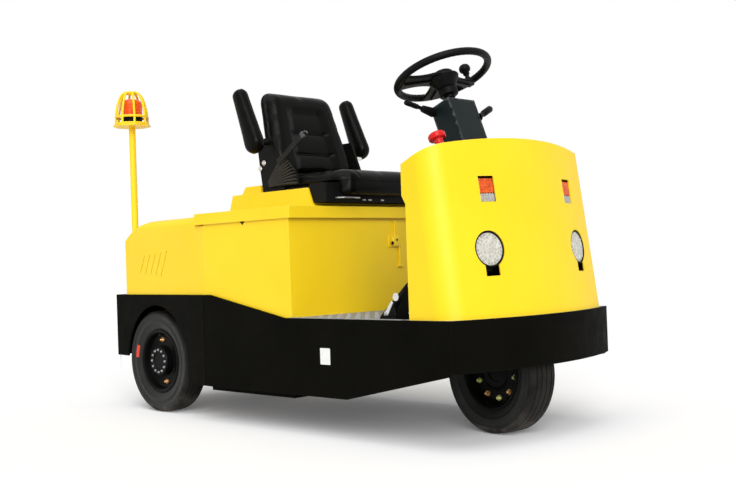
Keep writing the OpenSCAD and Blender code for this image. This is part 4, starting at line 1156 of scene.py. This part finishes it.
def pedals():
    lo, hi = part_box("brake_pedal")
    y = (lo.y + hi.y) / 2
    brake = Piece("brake_pedal")
    arm = in_profile(hi.x, mm((-8, 190), (-118, 74), (-100, 62), (-8, 165)), [0.004, 0.008, 0.008, 0.004])
    brake.add(pillow(arm, 0.012, 0.002), BLACK, upright(y + 0.006))
    brake.add(block(0.014, 0.04, 0.05, 0.003), BLACK, shift(hi.x - 0.007, y, FLOOR_Z + 0.175))
    pad = leaning((hi.x - 0.112, y, FLOOR_Z + 0.066), 52)
    brake.add(block(0.07, 0.072, 0.008, 0.003, 0.008), PLASTIC, pad @ shift(0.003, 0, 0.004))
    for i in range(5):
        brake.add(block(0.0055, 0.06, 0.003, 0.001), PLASTIC, pad @ shift(-0.024 + 0.0135 * i, 0, 0.0085))
    brake.done("chassis", "black_plastic", "brake_pedal")

    lo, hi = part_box("drive_pedal")
    y = (lo.y + hi.y) / 2 + 0.001
    drive = Piece("drive_pedal")
    wedge = in_profile(hi.x, mm((-172, 0), (-90, 0), (-104, 40), (-34, 106), (-42, 116), (-160, 14)),
                       [0.003, 0.006, 0.01, 0.004, 0.004, 0.004])
    drive.add(pillow(wedge, 0.064, 0.003), PLASTIC, upright(y + 0.032))
    face = aim((hi.x - 0.101, y, FLOOR_Z + 0.0655), (-0.654, 0, 0.756), (0.756, 0, 0.654))
    for i in range(6):
        drive.add(block(0.008, 0.054, 0.0026, 0.001), PLASTIC, face @ shift(-0.055 + 0.02 * i, 0, 0.0008))
    cheek = in_profile(hi.x, mm((-100, 0), (-1, 0), (-1, 150), (-46, 108)), 0.005)
    drive.add(pillow(cheek, 0.006, 0.001), BLACK, upright(y - 0.0275))
    link = in_profile(hi.x, mm((-150, 10), (-128, 12), (-104, 52), (-112, 58)), 0.003)
    drive.add(pillow(link, 0.004, 0.001), ZINC, upright(y - 0.0305))
    boss = mm((13, 0), (13, 4), (11, 5.5), (6, 6), (0, 6))
    drive.add(lathe(boss, 28), ZINC, aim((hi.x - 0.092, y - 0.03, FLOOR_Z + 0.07), (0, -1, 0)))
    for x, z in ((-0.03, 0.02), (-0.03, 0.105), (-0.138, 0.018)):
        drive.add(hex_head(0.005, 0.004), STEEL, aim((hi.x + x, y - 0.0335, FLOOR_Z + z), (0, -1, 0)))
    drive.done("chassis", "black_plastic", "drive_pedal")


def label():
    """Blank white sticker on the right skirt."""
    sheet = rounded(rectangle(0.408, 0.247, 0.457, 0.302), 0.003)
    piece = Piece("skirt_label")
    piece.add(pillow(sheet, 0.0005, 0.0002, 1), STICKER, upright(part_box("skirt_right")[0].y + 0.00005))
    piece.done("chassis", "black_paint")


def floor_trim():
    """Bright edge of the floor plate along the skirts."""
    lo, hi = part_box("floor_plate")
    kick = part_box("cowl")[0].x
    piece = Piece("floor_trim")
    for side in (-1, 1):
        strip = block(kick - lo.x - 0.012, 0.012, 0.0022, 0.0006)
        piece.add(strip, LOZENGE, shift((lo.x + kick) / 2 - 0.004, side * (hi.y + 0.001), FLOOR_Z + 0.0011))
    piece.done("chassis", "chequer_plate")


def body_bolts():
    """Fixings of the floor and of the rear plate."""
    piece = Piece("body_bolts")
    floor_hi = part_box("floor_plate")[1]
    for x in (0.3, 0.52, 0.74):
        for side in (-1, 1):
            spot = (x, side * (floor_hi.y - 0.016), FLOOR_Z - 0.0003)
            piece.add(hex_head(0.0055, 0.003), ZINC, aim(spot, (0, 0, 1)))
    rear_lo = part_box("rear_plate")[0]
    for y in (-0.3, -0.14, 0.14, 0.3):
        for z in (0.27, 0.35) if abs(y) < 0.2 else (0.26, 0.345):
            piece.add(hex_head(0.0085, 0.007), BLACK, aim((rear_lo.x + 0.0004, y, z), (-1, 0, 0)))
    piece.done("chassis", "black_paint")


make_camera()
make_stage()
dress_nodes()
wheels()
steering_wheel()
column_levers()
stop_button()
for hand in HANDS:
    headlamp(hand)
    marker(hand)
    armrest(hand)
beacon()
tail_lamps()
seat_back()
seat_cushion()
bellows()
belt_stalk()
seat_hardware()
chequer()
latch()
pedals()
label()
floor_trim()
body_bolts()
